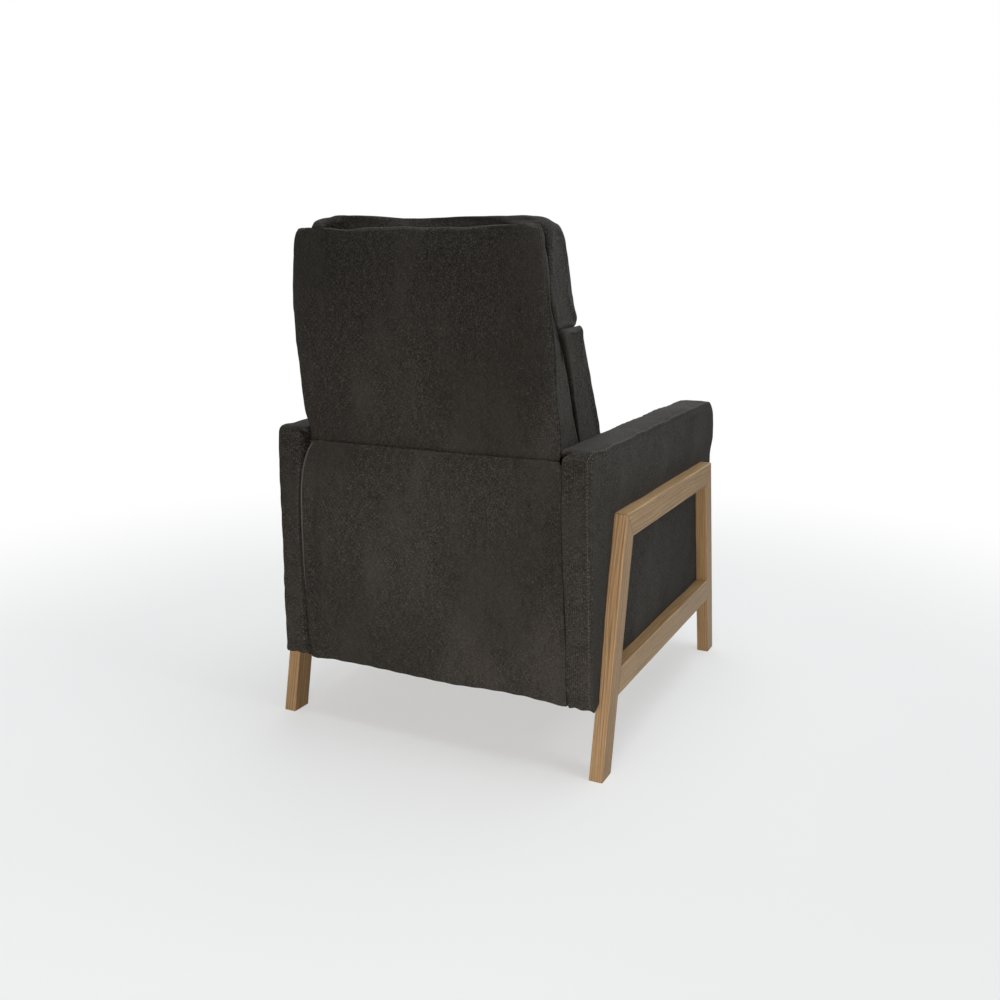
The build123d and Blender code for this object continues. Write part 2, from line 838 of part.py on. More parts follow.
lumbar_outline = [
    (rear(lumbar_front_reach + cushion_corner / 2), lumbar_bottom),
    (face_y(lumbar_bottom) + lumbar_press, lumbar_bottom),
    (face_y(lumbar_top) + lumbar_press, lumbar_top),
    (rear(lumbar_top_front_reach), lumbar_top),
    (rear(lumbar_front_reach), lumbar_front_z),
]
pillow_outline = [
    (rear(pillow_front_low_reach), pillow_bottom),
    (face_y(pillow_bottom) - soft_gap, pillow_bottom),
    (rear(pillow_rear_top_reach), pillow_top),
    (rear(pillow_front_high_reach), pillow_front_high_z),
]


def back_cushion(points, bellies, half, name):
    # A cushion that lies flat against the back's slanted face
    with BuildPart() as body:
        add(cushion_solid(points, bellies, half, cushion_corner))
        with BuildSketch(side_plane(-half_width)):
            with BuildLine():
                Polyline(
                    (face_y(0) - soft_gap, 0),
                    (face_y(0) + frame_height, 0),
                    (face_y(back_top_z * 2) + frame_height, back_top_z * 2),
                    (face_y(back_top_z * 2) - soft_gap, back_top_z * 2),
                    close=True,
                )
            make_face()
        extrude(amount=overall_width, mode=Mode.SUBTRACT)
    save(body.part, name)


back_cushion(lumbar_outline, [0, 0, 0, lumbar_belly, 0], lumbar_half, "lumbar_cushion")
back_cushion(pillow_outline, [0, 0, 0, pillow_belly], pillow_half, "head_pillow")


# Footrest linkage: two parallelograms in series, so every angle follows one drive
def both_links(x_inner, centres, radius, name, open_holes=()):
    for side in (1, -1):
        save(link(side, x_inner, centres, radius, open_holes), name + "_" + side_name(side))


both_links(swing_layer, [drive_pivot, carrier_pivot, tilt_rear_pivot], drive_link_radius, "footrest_drive_link")
both_links(swing_layer, [control_pivot, carrier_front_pivot], link_radius, "footrest_control_link", [carrier_front_pivot])
both_links(base_layer, [carrier_pivot, carrier_front_pivot, ottoman_pivot], link_radius, "footrest_carrier_link")
both_links(base_layer, [tilt_rear_pivot, tilt_front_pivot], tilt_link_radius, "footrest_tilt_link", [tilt_front_pivot])

with BuildPart() as footrest_tube:
    share = footrest_tube_share
    middle = (
        drive_pivot[0] + share * (carrier_pivot[0] - drive_pivot[0]),
        drive_pivot[1] + share * (carrier_pivot[1] - drive_pivot[1]),
    )
    cross_tube(middle, footrest_tube_radius, torque_tube_wall, swing_layer)
save(footrest_tube.part, "footrest_cross_tube")

base_outer = base_layer + plate_thickness
with BuildPart() as drive_rivets:
    for side in (1, -1):
        rivet(side, carrier_pivot, swing_layer, base_outer)
        rivet(side, tilt_rear_pivot, swing_layer, base_outer)
save(drive_rivets.part, "footrest_drive_rivets")

bracket_outer = bracket_layer + plate_thickness
with BuildPart() as carrier_rivets:
    for side in (1, -1):
        rivet(side, carrier_front_pivot, swing_layer, base_outer)
        rivet(side, ottoman_pivot, base_layer, bracket_outer, inner_head=False)
save(carrier_rivets.part, "footrest_carrier_rivets")

with BuildPart() as ottoman_rivets:
    for side in (1, -1):
        rivet(side, tilt_front_pivot, base_layer, bracket_outer, inner_head=False)
save(ottoman_rivets.part, "ottoman_rivets")

board_y = front(ottoman_board_reach)
flange_low = ottoman_pivot_z - tilt_offset
flange_high = ottoman_pivot_z + tilt_offset + link_radius
for side in (1, -1):
    with BuildPart() as ottoman_bracket:
        edge_y = board_y + tilt_link_radius
        corners = [(edge_y, flange_low + tilt_link_radius), (edge_y, flange_high - tilt_link_radius)]
        hull_plate(side, bracket_layer, corners + [ottoman_pivot, tilt_front_pivot], tilt_link_radius)
        pierce(side, bracket_layer, [ottoman_pivot, tilt_front_pivot], pin_radius + running_gap)
        box_between(
            (side * (bracket_outer - stile_width), side * bracket_outer),
            (board_y, board_y + plate_thickness),
            (flange_low, flange_high),
        )
    save(ottoman_bracket.part, "ottoman_bracket_" + side_name(side))

with BuildPart() as ottoman_board:
    board_half = ottoman_half - ottoman_board_inset
    box_between(
        (-board_half, board_half),
        (board_y - ottoman_board_thickness, board_y),
        (ottoman_bottom + ottoman_board_inset, ottoman_top - ottoman_board_inset),
    )
save(ottoman_board.part, "ottoman_board")

pad_back = board_y - ottoman_board_thickness - soft_gap
pad_face = pad_back - ottoman_pad_thickness
ottoman_outline = [
    (pad_face, ottoman_bottom),
    (pad_back, ottoman_bottom),
    (pad_back, ottoman_top),
    (pad_face, ottoman_top),
]
with BuildPart() as ottoman_pad:
    add(cushion_solid(ottoman_outline, [0, 0, 0, ottoman_belly], ottoman_half, ottoman_corner))
    box_between(
        (-half_width, half_width),
        (pad_back, pad_back + ottoman_pad_thickness),
        (0, frame_height),
        Mode.SUBTRACT,
    )
save(ottoman_pad.part, "ottoman_pad")


# Flush screws that hold the hinge brackets to the back frame
with BuildPart() as bracket_screws:
    for side in (1, -1):
        for place in bracket_places:
            cylinder_between(side, place, screw_radius, back_layer, back_layer + plate_thickness)
save(bracket_screws.part, "back_bracket_screws")
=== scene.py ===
import math

import bpy
import numpy as np
from mathutils import Matrix, Vector


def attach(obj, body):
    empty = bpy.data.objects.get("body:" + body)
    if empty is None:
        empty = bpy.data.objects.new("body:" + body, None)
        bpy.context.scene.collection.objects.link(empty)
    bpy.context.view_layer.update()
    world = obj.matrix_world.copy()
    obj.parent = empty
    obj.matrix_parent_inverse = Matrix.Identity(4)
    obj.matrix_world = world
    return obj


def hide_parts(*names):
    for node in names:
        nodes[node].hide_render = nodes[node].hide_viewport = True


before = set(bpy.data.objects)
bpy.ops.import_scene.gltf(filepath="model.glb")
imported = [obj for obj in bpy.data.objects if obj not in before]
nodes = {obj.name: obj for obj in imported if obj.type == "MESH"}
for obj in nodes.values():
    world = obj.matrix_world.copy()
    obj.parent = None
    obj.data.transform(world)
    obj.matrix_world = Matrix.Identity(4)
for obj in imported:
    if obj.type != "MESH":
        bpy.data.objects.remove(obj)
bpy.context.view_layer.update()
print("frame loaded:", len(nodes), "nodes")

# Chair's own directions: the front is -Y, the sitter's left is +X, up is +Z, and the floor is at 0.

camera = {
    "place": (-0.9281, 1.9758, 0.9066),  # metres
    "yaw": 0.4533,  # radians from -Y towards +X
    "pitch": -0.2189,
    "roll": 0.007,
    "lens": 36.28,  # mm
    "sensor": 36,
    "nearest": 0.05,
}


def aimCamera(spec):
    # the view direction comes from yaw and pitch, then right and up are turned about it by the roll
    yaw, pitch = spec["yaw"], spec["pitch"]
    forward = Vector((math.sin(yaw) * math.cos(pitch), -math.cos(yaw) * math.cos(pitch), math.sin(pitch)))
    right = forward.cross(Vector((0, 0, 1))).normalized()
    up = right.cross(forward)
    turned = Matrix((right, up, -forward)).transposed() @ Matrix.Rotation(spec["roll"], 3, "Z")
    lens = bpy.data.cameras.new("camera")
    lens.lens, lens.sensor_width, lens.clip_start = spec["lens"], spec["sensor"], spec["nearest"]
    body = bpy.data.objects.new("camera", lens)
    body.matrix_world = Matrix.Translation(spec["place"]) @ turned.to_4x4()
    bpy.context.scene.collection.objects.link(body)
    bpy.context.scene.camera = body


aimCamera(camera)


# Shader writing: a wired socket takes Python's operators, and each adds a Math node.

class wired:
    def __init__(self, sheet, socket):
        self.sheet, self.socket = sheet, socket

    def maths(self, operation, *values):
        return self.sheet.node("Math", {"operation": operation}, dict(enumerate(values)))

    __add__ = lambda self, other: self.maths("ADD", self, other)
    __radd__ = lambda self, other: self.maths("ADD", other, self)
    __sub__ = lambda self, other: self.maths("SUBTRACT", self, other)
    __rsub__ = lambda self, other: self.maths("SUBTRACT", other, self)
    __mul__ = lambda self, other: self.maths("MULTIPLY", self, other)
    __rmul__ = lambda self, other: self.maths("MULTIPLY", other, self)
    __pow__ = lambda self, other: self.maths("POWER", self, other)
    sine = lambda self: self.maths("SINE", self)
    size = lambda self: self.maths("ABSOLUTE", self)
    most = lambda self, other: self.maths("MAXIMUM", self, other)


class nodeSheet:
    def __init__(self, name, holder=None):
        self.holder = holder or bpy.data.materials.new(name)
        self.holder.use_nodes = True
        self.tree = self.holder.node_tree
        self.tree.nodes.clear()

    def node(self, kind, settings=None, sockets=None, output=0):
        made = self.tree.nodes.new("ShaderNode" + kind)
        for name, value in (settings or {}).items():
            setattr(made, name, value)
        for name, value in (sockets or {}).items():
            if isinstance(value, wired):
                self.tree.links.new(value.socket, made.inputs[name])
            else:
                made.inputs[name].default_value = value
        return wired(self, made.outputs[output]) if made.outputs else made

    def position(self):
        return self.node("TexCoord", None, None, 3)

    def split(self, vector):
        made = self.node("SeparateXYZ", None, {0: vector})
        return [wired(self, socket) for socket in made.socket.node.outputs]

    def grain(self, vector, scales, detail, roughness, shift=(0, 0, 0)):
        # noise of one scale, or stretched by three of them
        if isinstance(scales, tuple):
            vector = self.node("Mapping", None, {"Vector": vector, "Scale": scales, "Location": shift})
            scales = 1.0
        return self.node("TexNoise", None, {
            "Vector": vector, "Scale": scales, "Detail": detail, "Roughness": roughness})

    def grains(self, vector, specs):
        return {name: self.grain(vector, *values) for name, values in specs.items()}

    def blend(self, parts, shares):
        # the sum of the named parts, each multiplied by its share
        first, *others = [parts[name] * share for name, share in shares.items()]
        return sum(others, first)

    def ramp(self, value, stops):
        made = self.node("ValToRGB", None, {"Fac": value})
        elements = made.socket.node.color_ramp.elements
        while len(elements) < len(stops):
            elements.new(0.5)
        for element, (place, colour) in zip(elements, stops):
            element.position = place
            element.color = (*colour, 1)
        return made

    def mixed(self, share, first, second):
        # each colour is a wired one or three plain values
        first, second = (value if isinstance(value, wired) else (*value, 1) for value in (first, second))
        return self.node("Mix", {"data_type": "RGBA"}, {0: share, 6: first, 7: second}, 2)

    def between(self, value, low, high):
        sockets = {"Value": value, "From Min": low, "From Max": high}
        return self.node("MapRange", {"interpolation_type": "SMOOTHSTEP"}, sockets)

    def surface(self, parts, colour, spec):
        # roughness and height are blends of the same parts as the colour
        height = self.blend(parts, spec["height"])
        strength, distance = spec["bump"]
        shader = self.node("BsdfPrincipled", None, {
            "Base Color": colour, "Roughness": spec["rough"] + self.blend(parts, spec["roughness"]),
            "Normal": self.node("Bump", None, {"Height": height, "Strength": strength, "Distance": distance}),
            **spec.get("fixed", {})})
        self.node("OutputMaterial", None, {"Surface": shader})
        return self.holder


# In each finish, "grains" gives the scales, detail, roughness and shift of its noises, and "tone", "roughness" and
# "height" give the share of each part in its colour ramp, its roughness and its bump.

chenille = {
    "name": "charcoal_chenille", "cordPitch": 0.0029, "cordWobble": 0.0022, "tuftPitch": 0.0017, "tuftWobble": 0.0016,
    "grains": {
        "wobble": (240.0, 2.0, 0.5), "fibre": (1500.0, 2.0, 0.7),
        "downStreak": ((760, 185, 1), 2.0, 0.6), "crossStreak": ((185, 760, 1), 2.0, 0.6, (3.1, 7.7, 0)),
        "mottle": ((105, 52, 1), 3.0, 0.6, (1.9, 4.3, 0)), "pile": ((9, 3.4, 1), 4.0, 0.6),
        "leaning": ((3.2, 2.1, 1), 2.0, 0.5, (5.3, 2.2, 0))},
    "tone": {"downStreak": 0.4, "crossStreak": 0.38, "fibre": 0.14, "mottle": 0.14, "cord": 0.018},
    "stops": [(0.41, (0.0075, 0.0067, 0.0059)), (0.53, (0.0285, 0.0258, 0.023)),
              (0.61, (0.068, 0.0622, 0.056)), (0.72, (0.14, 0.13, 0.119))],
    "patches": {  # from and to in the noise, share, and colour
        "pile": (0.42, 0.66, 0.5, (0.055, 0.0505, 0.0455)), "leaning": (0.44, 0.64, 0.4, (0.019, 0.017, 0.0152))},
    "rough": 0.86, "roughness": {"mottle": 0.08}, "bump": (0.45, 0.0011),
    "height": {"cord": 0.35, "tuft": 0.2, "downStreak": 0.7, "crossStreak": 0.6, "fibre": 0.5},
    "fixed": {"Sheen Weight": 0.025, "Sheen Roughness": 0.45, "Sheen Tint": (0.86, 0.82, 0.78, 1),
              "Specular IOR Level": 0.1},
}


def chenilleFinish(spec):
    # short cut-pile cords run with the cloth, light fibres are mixed with dark ones in streaks both ways, and the pile
    # leans in soft patches that run with the cords
    sheet = nodeSheet(spec["name"])
    cloth = sheet.node("UVMap", {"uv_map": "weave"})
    across, along = sheet.split(cloth)[:2]
    parts = sheet.grains(cloth, spec["grains"])
    parts["cord"] = ((across + parts["wobble"] * spec["cordWobble"]) * (2 * math.pi / spec["cordPitch"])).sine()
    parts["tuft"] = ((along + parts["wobble"] * spec["tuftWobble"]) * (2 * math.pi / spec["tuftPitch"])).sine()
    colour = sheet.ramp(sheet.blend(parts, spec["tone"]), spec["stops"])
    for name, (low, high, share, tint) in spec["patches"].items():
        colour = sheet.mixed(sheet.between(parts[name], low, high) * share, colour, tint)
    return sheet.surface(parts, colour, spec)


oak = {
    "leans": {  # of each member from upright, in radians, towards +Y
        "rear_leg": math.atan2(-0.093, 0.487), "front_leg": math.atan2(0.111, 0.487), "arm_rail": math.pi / 2,
        "lower_rail": math.pi / 2},
    "shift": (0.37, 0.61, 0.13),  # of the grain from each member to the next
    "grains": {
        "drift": ((9, 9, 0.9), 3.0, 0.5), "waver": ((60, 60, 2.2), 4.0, 0.6), "fine": ((850, 850, 8), 3.0, 0.65),
        "dash": ((1500, 1500, 55), 1.0, 0.4, (0.3, 0.9, 0.2))},
    "across": {"x": 1.0, "y": 0.7, "drift": 0.07, "waver": 0.006}, "bandRate": 1150.0,
    "tone": {"bands": 0.14, "fine": 0.62, "drift": 0.24},
    "stops": [(0.3, (0.13, 0.069, 0.028)), (0.45, (0.285, 0.172, 0.078)), (0.58, (0.38, 0.242, 0.117)),
              (0.74, (0.5, 0.346, 0.186))],
    "poreDash": (0.6, 0.7), "poreBand": (0.1, 0.9), "poreShare": 0.55, "poreColour": (0.15, 0.08, 0.035),
    "mitres": ((0.2434, 0.438, 0.6086, 0.7935), (-0.2732, 0.438, -0.59, 0.807)),  # a point (y, z) and a direction
    "mitreLine": (0.0005, 0.0016), "mitreShare": 0.85,
    "rough": 0.4, "roughness": {"fine": 0.14, "pores": 0.2}, "height": {"fine": 0.6, "pores": -0.8},
    "bump": (0.22, 0.0005), "fixed": {"Specular IOR Level": 0.42},
}


def oakFinish(name, member, shift, spec):
    # the grain runs along the member: the place is turned by its lean, bands are sin(rate * across), which drifts,
    # the pores are long dashes, and a dark line marks each mitre
    sheet = nodeSheet(name)
    place = sheet.position()
    turned = sheet.node("Mapping", None, {
        "Vector": place, "Rotation": (spec["leans"][member], 0, 0), "Location": shift})
    parts = sheet.grains(turned, spec["grains"])
    parts["x"], parts["y"] = sheet.split(turned)[:2]
    bands = (sheet.blend(parts, spec["across"]) * spec["bandRate"]).sine() * 0.5 + 0.5
    parts["bands"] = bands
    parts["pores"] = sheet.between(parts["dash"], *spec["poreDash"]) * sheet.between(bands, *spec["poreBand"])
    colour = sheet.ramp(sheet.blend(parts, spec["tone"]), spec["stops"])
    colour = sheet.mixed(parts["pores"] * spec["poreShare"], colour, spec["poreColour"])
    y, z = sheet.split(place)[1:]
    for jointY, jointZ, alongY, alongZ in () if member == "lower_rail" else spec["mitres"]:
        away = sheet.between(((y - jointY) * alongZ - (z - jointZ) * alongY).size(), *spec["mitreLine"])
        colour = sheet.mixed((1 - away) * spec["mitreShare"], colour, spec["poreColour"])
    return sheet.surface(parts, colour, spec)


steel = {
    "name": "black_painted_steel", "paint": (0.018, 0.018, 0.019), "rubbed": (0.075, 0.074, 0.072),
    "grains": {"peel": (420.0, 2.0, 0.5), "patch": (34.0, 4.0, 0.6)}, "worn": (0.52, 0.74), "wornShare": 0.6,
    "metallic": 0.35, "wornMetallic": 0.15, "rough": 0.34, "roughness": {"patch": 0.2}, "height": {"peel": 1.0},
    "bump": (0.12, 0.0004),
}
zinc = {**steel, "name": "zinc_plate", "paint": (0.5, 0.51, 0.53), "rubbed": (0.62, 0.61, 0.58), "metallic": 0.8,
        "rough": 0.22}


def metalFinish(spec):
    # paint or plating with a faint orange peel, rubbed a little lighter in patches
    sheet = nodeSheet(spec["name"])
    parts = sheet.grains(sheet.position(), spec["grains"])
    worn = sheet.between(parts["patch"], *spec["worn"])
    colour = sheet.mixed(worn * spec["wornShare"], spec["paint"], spec["rubbed"])
    metallic = spec["metallic"] + worn * spec["wornMetallic"]
    return sheet.surface(parts, colour, {**spec, "fixed": {"Metallic": metallic}})


board = {
    "name": "frame_softwood", "grains": {"drift": ((1.2, 9, 9), 3.0, 0.5), "streak": ((8, 420, 420), 3.0, 0.6)},
    "across": {"y": 1.0, "z": 0.6, "drift": 0.09}, "bandRate": 380.0, "tone": {"bands": 0.5, "streak": 0.5},
    "stops": [(0.2, (0.36, 0.24, 0.13)), (0.55, (0.52, 0.38, 0.22)), (0.9, (0.64, 0.5, 0.32))],
    "rough": 0.62, "roughness": {"streak": 0.2}, "height": {"streak": 1.0, "bands": 0.4}, "bump": (0.25, 0.0006),
}


def boardFinish(spec):
    # sawn softwood inside the chair: wide pale bands along the board and a few darker streaks
    sheet = nodeSheet(spec["name"])
    place = sheet.position()
    parts = sheet.grains(place, spec["grains"])
    parts["y"], parts["z"] = sheet.split(place)[1:]
    parts["bands"] = (sheet.blend(parts, spec["across"]) * spec["bandRate"]).sine() * 0.5 + 0.5
    return sheet.surface(parts, sheet.ramp(sheet.blend(parts, spec["tone"]), spec["stops"]), spec)


webbing = {
    "name": "black_webbing", "ribPitch": 0.004, "grains": {"fluff": (900.0, 2.0, 0.5)},
    "tone": {"rib": 0.25, "fluff": 0.6}, "paler": 0.1,
    "stops": [(0.2, (0.01, 0.01, 0.01)), (0.7, (0.05, 0.048, 0.046))], "rough": 0.8, "roughness": {"fluff": 0.1},
    "height": {"rib": 1.0, "fluff": 0.4}, "bump": (0.4, 0.0006),
}


def webbingFinish(spec):
    # black elastic webbing: sin * sin of its ribs both ways, and fluff between them
    sheet = nodeSheet(spec["name"])
    place = sheet.position()
    parts = sheet.grains(place, spec["grains"])
    ribs = [(way * (2 * math.pi / spec["ribPitch"])).sine() for way in sheet.split(place)[:2]]
    parts["rib"] = ribs[0] * ribs[1]
    return sheet.surface(parts, sheet.ramp(sheet.blend(parts, spec["tone"]) + spec["paler"], spec["stops"]), spec)


thread = {
    "name": "charcoal_thread", "grains": {"twist": (2600.0, 2.0, 0.5)},
    "stops": [(0.3, (0.075, 0.069, 0.061)), (0.7, (0.155, 0.143, 0.127))],
    "rough": 0.6, "roughness": {"twist": 0.15}, "height": {"twist": 1.0}, "bump": (0.3, 0.0002),
}
# the hem's cloth is lighter than the chenille beside it: a painted highlight where the rolled edge catches light
hemHighlightCloth = {
    **thread, "name": "rolled_hem_painted_highlight", "stops": [(0.3, (0.03, 0.028, 0.0255)), (0.7, (0.07, 0.065, 0.0595))]}


def threadFinish(spec):
    # spun thread: fine twist lines across a dark grey strand
    sheet = nodeSheet(spec["name"])
    parts = sheet.grains(sheet.position(), spec["grains"])
    return sheet.surface(parts, sheet.ramp(parts["twist"], spec["stops"]), spec)


clothMaterial = chenilleFinish(chenille)
steelMaterial = metalFinish(steel)
zincMaterial = metalFinish(zinc)
boardMaterial = boardFinish(board)
webbingMaterial = webbingFinish(webbing)
threadMaterial = threadFinish(thread)
# the lighter hem cloth paints a highlight along the panel's rolled left edge
hemHighlightMaterial = threadFinish(hemHighlightCloth)

steelNames = ("mechanism", "rear_swing", "swing_torque", "front_swing", "seat_plate", "back_bracket", "footrest_",
              "ottoman_bracket")
zincNames = ("rivets", "bolts", "screws")
for order, name in enumerate(sorted(nodes)):
    member = next((kind for kind in oak["leans"] if name.startswith(kind)), None)
    if member:
        material = oakFinish("oak_" + name, member, tuple(step * order for step in oak["shift"]), oak)
    elif name.endswith(zincNames):
        material = zincMaterial
    elif name.startswith(steelNames):
        material = steelMaterial
    else:
        material = webbingMaterial if name == "seat_webbing" else boardMaterial
    nodes[name].data.materials.clear()
    nodes[name].data.materials.append(material)
print("wood, steel and board finishes are on")

# Padded pieces: an outline in the side view (y, z) is swept across x, its two ends are filled, and its edges rolled.

shellForm = {
    "steps": 4,  # from a rolled edge's start to its end, and along half of a corner's arc
    "roomShare": 0.85,  # of the largest circle inside the outline, for the roll of an edge
    "evenings": 4, "bellyPower": 3.0, "acrossPower": 3.5, "crownPower": 3.5, "crease": 0.7,
}


def travel(points):
    # the distance along a polyline of each of its points
    return np.concatenate(([0], np.cumsum(np.linalg.norm(np.diff(points, axis=0), axis=1))))


def lineLength(points):
    return float(travel(points)[-1])


def readAlong(values, travelled, places):
    # values known at distances along a line, read at other places on it
    return np.stack([np.interp(places, travelled, column) for column in values.T], axis=-1)


def gridCells(grid):
    # the four corners of each cell of a grid
    corners = [grid[:-1, :-1], grid[1:, :-1], grid[1:, 1:], grid[:-1, 1:]]
    return np.stack(corners, axis=2).reshape(-1, 4, *grid.shape[2:])


def tubeCells(rings):
    # the quads between each ring of a tube and the next, where the last two axes are the rings and the way round them
    after = np.roll(rings, -1, axis=-1)
    sides = (rings[..., :-1, :], after[..., :-1, :], after[..., 1:, :], rings[..., 1:, :])
    return np.stack(sides, axis=-1).reshape(-1, 4)


def roundedCorner(before, corner, after, radius, steps):
    # the arc of a radius that touches both lines at a corner: tangent points lie radius / tan(half angle) away
    toBefore = (before - corner) / np.linalg.norm(before - corner)
    toAfter = (after - corner) / np.linalg.norm(after - corner)
    half = math.acos(np.clip(toBefore @ toAfter, -1, 1)) / 2
    reach = radius / math.tan(half)
    middle = (toBefore + toAfter) / np.linalg.norm(toBefore + toAfter)
    centre = corner + middle * radius / math.sin(half)
    start = corner + toBefore * reach - centre
    end = corner + toAfter * reach - centre
    turn = math.pi - 2 * half
    share = np.linspace(0, 1, 2 * steps + 1)[:, None]
    return centre + (start * np.sin((1 - share) * turn) + end * np.sin(share * turn)) / math.sin(turn)


def roundedSides(corners, radii, splits, spacing, steps):
    # four sides of a rounded outline, cut at the middles of four corner arcs, with as many points on opposite sides
    corners = np.array(corners, float)
    count = len(corners)
    arcs = [roundedCorner(corners[n - 1], corners[n], corners[(n + 1) % count], radii[n], steps) for n in range(count)]
    lines = []
    for first, last in zip(splits, splits[1:] + splits[:1]):
        inner = [arcs[(first + n) % count] for n in range(1, (last - first) % count)]
        parts = [arcs[first][steps:], *inner, arcs[last][:steps + 1]]
        line = np.concatenate(parts)
        lines.append((line, lineLength(parts[0]), lineLength(line) - lineLength(parts[-1]), lineLength(line)))
    sides = []
    for n, (line, head, tail, end) in enumerate(lines):
        segments = max(2, round(max(lines[m][2] - lines[m][1] for m in (n, (n + 2) % 4)) / spacing))
        stretches = ((0, head, steps), (head, tail, segments), (tail, end, steps))
        places = [np.linspace(low, high, count + 1)[:-1] for low, high, count in stretches]
        sides.append(readAlong(line, travel(line), np.concatenate([*places, [end]])))
    return sides


def roomInside(loop, normal, most):
    # at each point of an outline, the radius of the largest circle that touches it there from inside:
    # the least of d * d / (2 * d . inward) over the other points, no more than a given radius, then evened out
    tiny = 1e-6
    gap = loop[None] - loop[:, None]
    inward = -(gap * normal[:, None]).sum(axis=2)
    room = np.where(inward > tiny, (gap ** 2).sum(axis=2) / (2 * np.maximum(inward, tiny)), most)
    room = np.minimum(room.min(axis=1) * shellForm["roomShare"], most)
    for turn in range(shellForm["evenings"]):
        room = np.minimum(room, (np.roll(room, 1) + room + np.roll(room, -1)) / 3)
    return room


def hump(share, power):
    # 0 at both ends, 1 in the middle
    return 1 - np.abs(2 * share - 1) ** power


def steady(value):
    return lambda z: np.full_like(z, value)


def tapered(heights, values):
    return lambda z: np.interp(z, heights, values)


def paddedShell(spec):
    # P(row, i) = outline(i) + normal(i) * (belly - inset(row)), x = along(row) * (half(z) - edge) + out(row);
    # the ends are Coons patches of their rims, with a crown of hump(s) * hump(t) outwards
    steps, edge = shellForm["steps"], spec["edge"]
    sides = roundedSides(spec["corners"], spec["radii"], spec["splits"], spec["spacing"], steps)
    loop = np.concatenate([side[:-1] for side in sides])
    counts = [len(side) - 1 for side in sides]
    total = len(loop)
    shares = np.concatenate([np.arange(n) / n for n in counts])
    sideOf = np.concatenate([np.full(n, m) for m, n in enumerate(counts)])
    tangent = np.roll(loop, -1, axis=0) - np.roll(loop, 1, axis=0)
    tangent /= np.linalg.norm(tangent, axis=1)[:, None]
    normal = np.stack([tangent[:, 1], -tangent[:, 0]], axis=1)
    turn = np.linspace(0, math.pi / 2, steps + 1)
    across = spec["rows"]
    even = np.linspace(-1, 1, across + 1)
    crowded = even + spec["crowd"] * (np.sin(even * math.pi / 2) - even)
    along = np.concatenate([-np.ones(steps), crowded, np.ones(steps)])
    out = edge * np.concatenate([-np.sin(turn[:0:-1]), np.zeros(across + 1), np.sin(turn[1:])])
    inset = np.concatenate([1 - np.cos(turn[:0:-1]), np.zeros(across + 1), 1 - np.cos(turn[1:])])
    inset = inset[:, None] * roomInside(loop, normal, edge) * spec["softness"](loop[:, 1])
    half = spec["half"](loop[:, 1])
    x = along[:, None] * (half - edge) + out[:, None]
    belly = np.array(spec["belly"])[sideOf] * hump(shares, shellForm["bellyPower"])
    push = belly * (1 - np.abs(x / half) ** shellForm["acrossPower"]) - inset
    band = np.stack([x, loop[:, 0] + normal[:, 0] * push, loop[:, 1] + normal[:, 1] * push], axis=2)
    rows = len(along)
    bandIndex = np.arange(rows * total).reshape(rows, total)
    around = np.concatenate([[0], np.cumsum(np.linalg.norm(np.roll(loop, -1, axis=0) - loop, axis=1))])
    closed = np.concatenate([x, x[:, :1]], axis=1)
    vertices = [band.reshape(-1, 3)]
    faces = [gridCells(np.concatenate([bandIndex, bandIndex[:, :1]], axis=1))]
    uvs = [gridCells(np.stack([closed, np.broadcast_to(around, closed.shape)], axis=2))]
    quarter = edge * math.pi / 4  # half the length of a rolled edge
    rounding = np.abs(turn - math.pi / 4) * edge
    inward = half.mean() * (1 - np.abs(crowded)) + quarter
    fromSeam = [np.repeat(np.concatenate([rounding[:0:-1], inward, rounding[1:]]), total)]
    starts = np.concatenate([[0], np.cumsum(counts)])
    made = rows * total
    for row, outwards in ((0, -1), (rows - 1, 1)):
        rims = [np.arange(starts[n], starts[n + 1] + 1) % total for n in range(4)]
        rims = [rims[0], rims[1], rims[2][::-1], rims[3][::-1]]
        bottom, right, top, left = (band[row][rim] for rim in rims)
        s = (shareAlong(bottom) + shareAlong(top)) / 2
        t = (shareAlong(left) + shareAlong(right)) / 2
        s3, t3 = s[:, None, None], t[None, :, None]
        patch = ((1 - t3) * bottom[:, None] + t3 * top[:, None] + (1 - s3) * left[None] + s3 * right[None]
                 - (1 - s3) * (1 - t3) * bottom[0] - s3 * (1 - t3) * bottom[-1]
                 - (1 - s3) * t3 * top[0] - s3 * t3 * top[-1])
        crown = spec["crown"] * hump(s, shellForm["crownPower"])[:, None] * hump(t, shellForm["crownPower"])[None, :]
        patch[:, :, 0] += outwards * crown
        fromRim = np.minimum(np.minimum(s, 1 - s)[:, None] * lineLength(bottom[:, 1:]),
                             np.minimum(t, 1 - t)[None] * lineLength(left[:, 1:]))
        index = np.zeros((len(s), len(t)), int)
        index[:, 0], index[-1, :], index[:, -1], index[0, :] = (rim + row * total for rim in rims)
        inner = patch[1:-1, 1:-1].reshape(-1, 3)
        index[1:-1, 1:-1] = made + np.arange(len(inner)).reshape(len(s) - 2, len(t) - 2)
        made += len(inner)
        cells, cellUvs = gridCells(index), gridCells(patch[:, :, 1:])
        if outwards > 0:
            cells, cellUvs = cells[:, ::-1], cellUvs[:, ::-1]
        vertices.append(inner)
        faces.append(cells)
        uvs.append(cellUvs)
        fromSeam.append(fromRim[1:-1, 1:-1].ravel() + quarter)
    seam = np.zeros(made, bool)
    seam[bandIndex[[steps // 2, rows - 1 - steps // 2]]] = True
    return {
        "points": np.concatenate(vertices), "faces": np.concatenate(faces), "uvs": np.concatenate(uvs),
        "band": bandIndex, "sideOf": sideOf, "seam": seam, "fromSeam": np.concatenate(fromSeam)}


def shareAlong(line):
    travelled = travel(line)
    return travelled / travelled[-1]


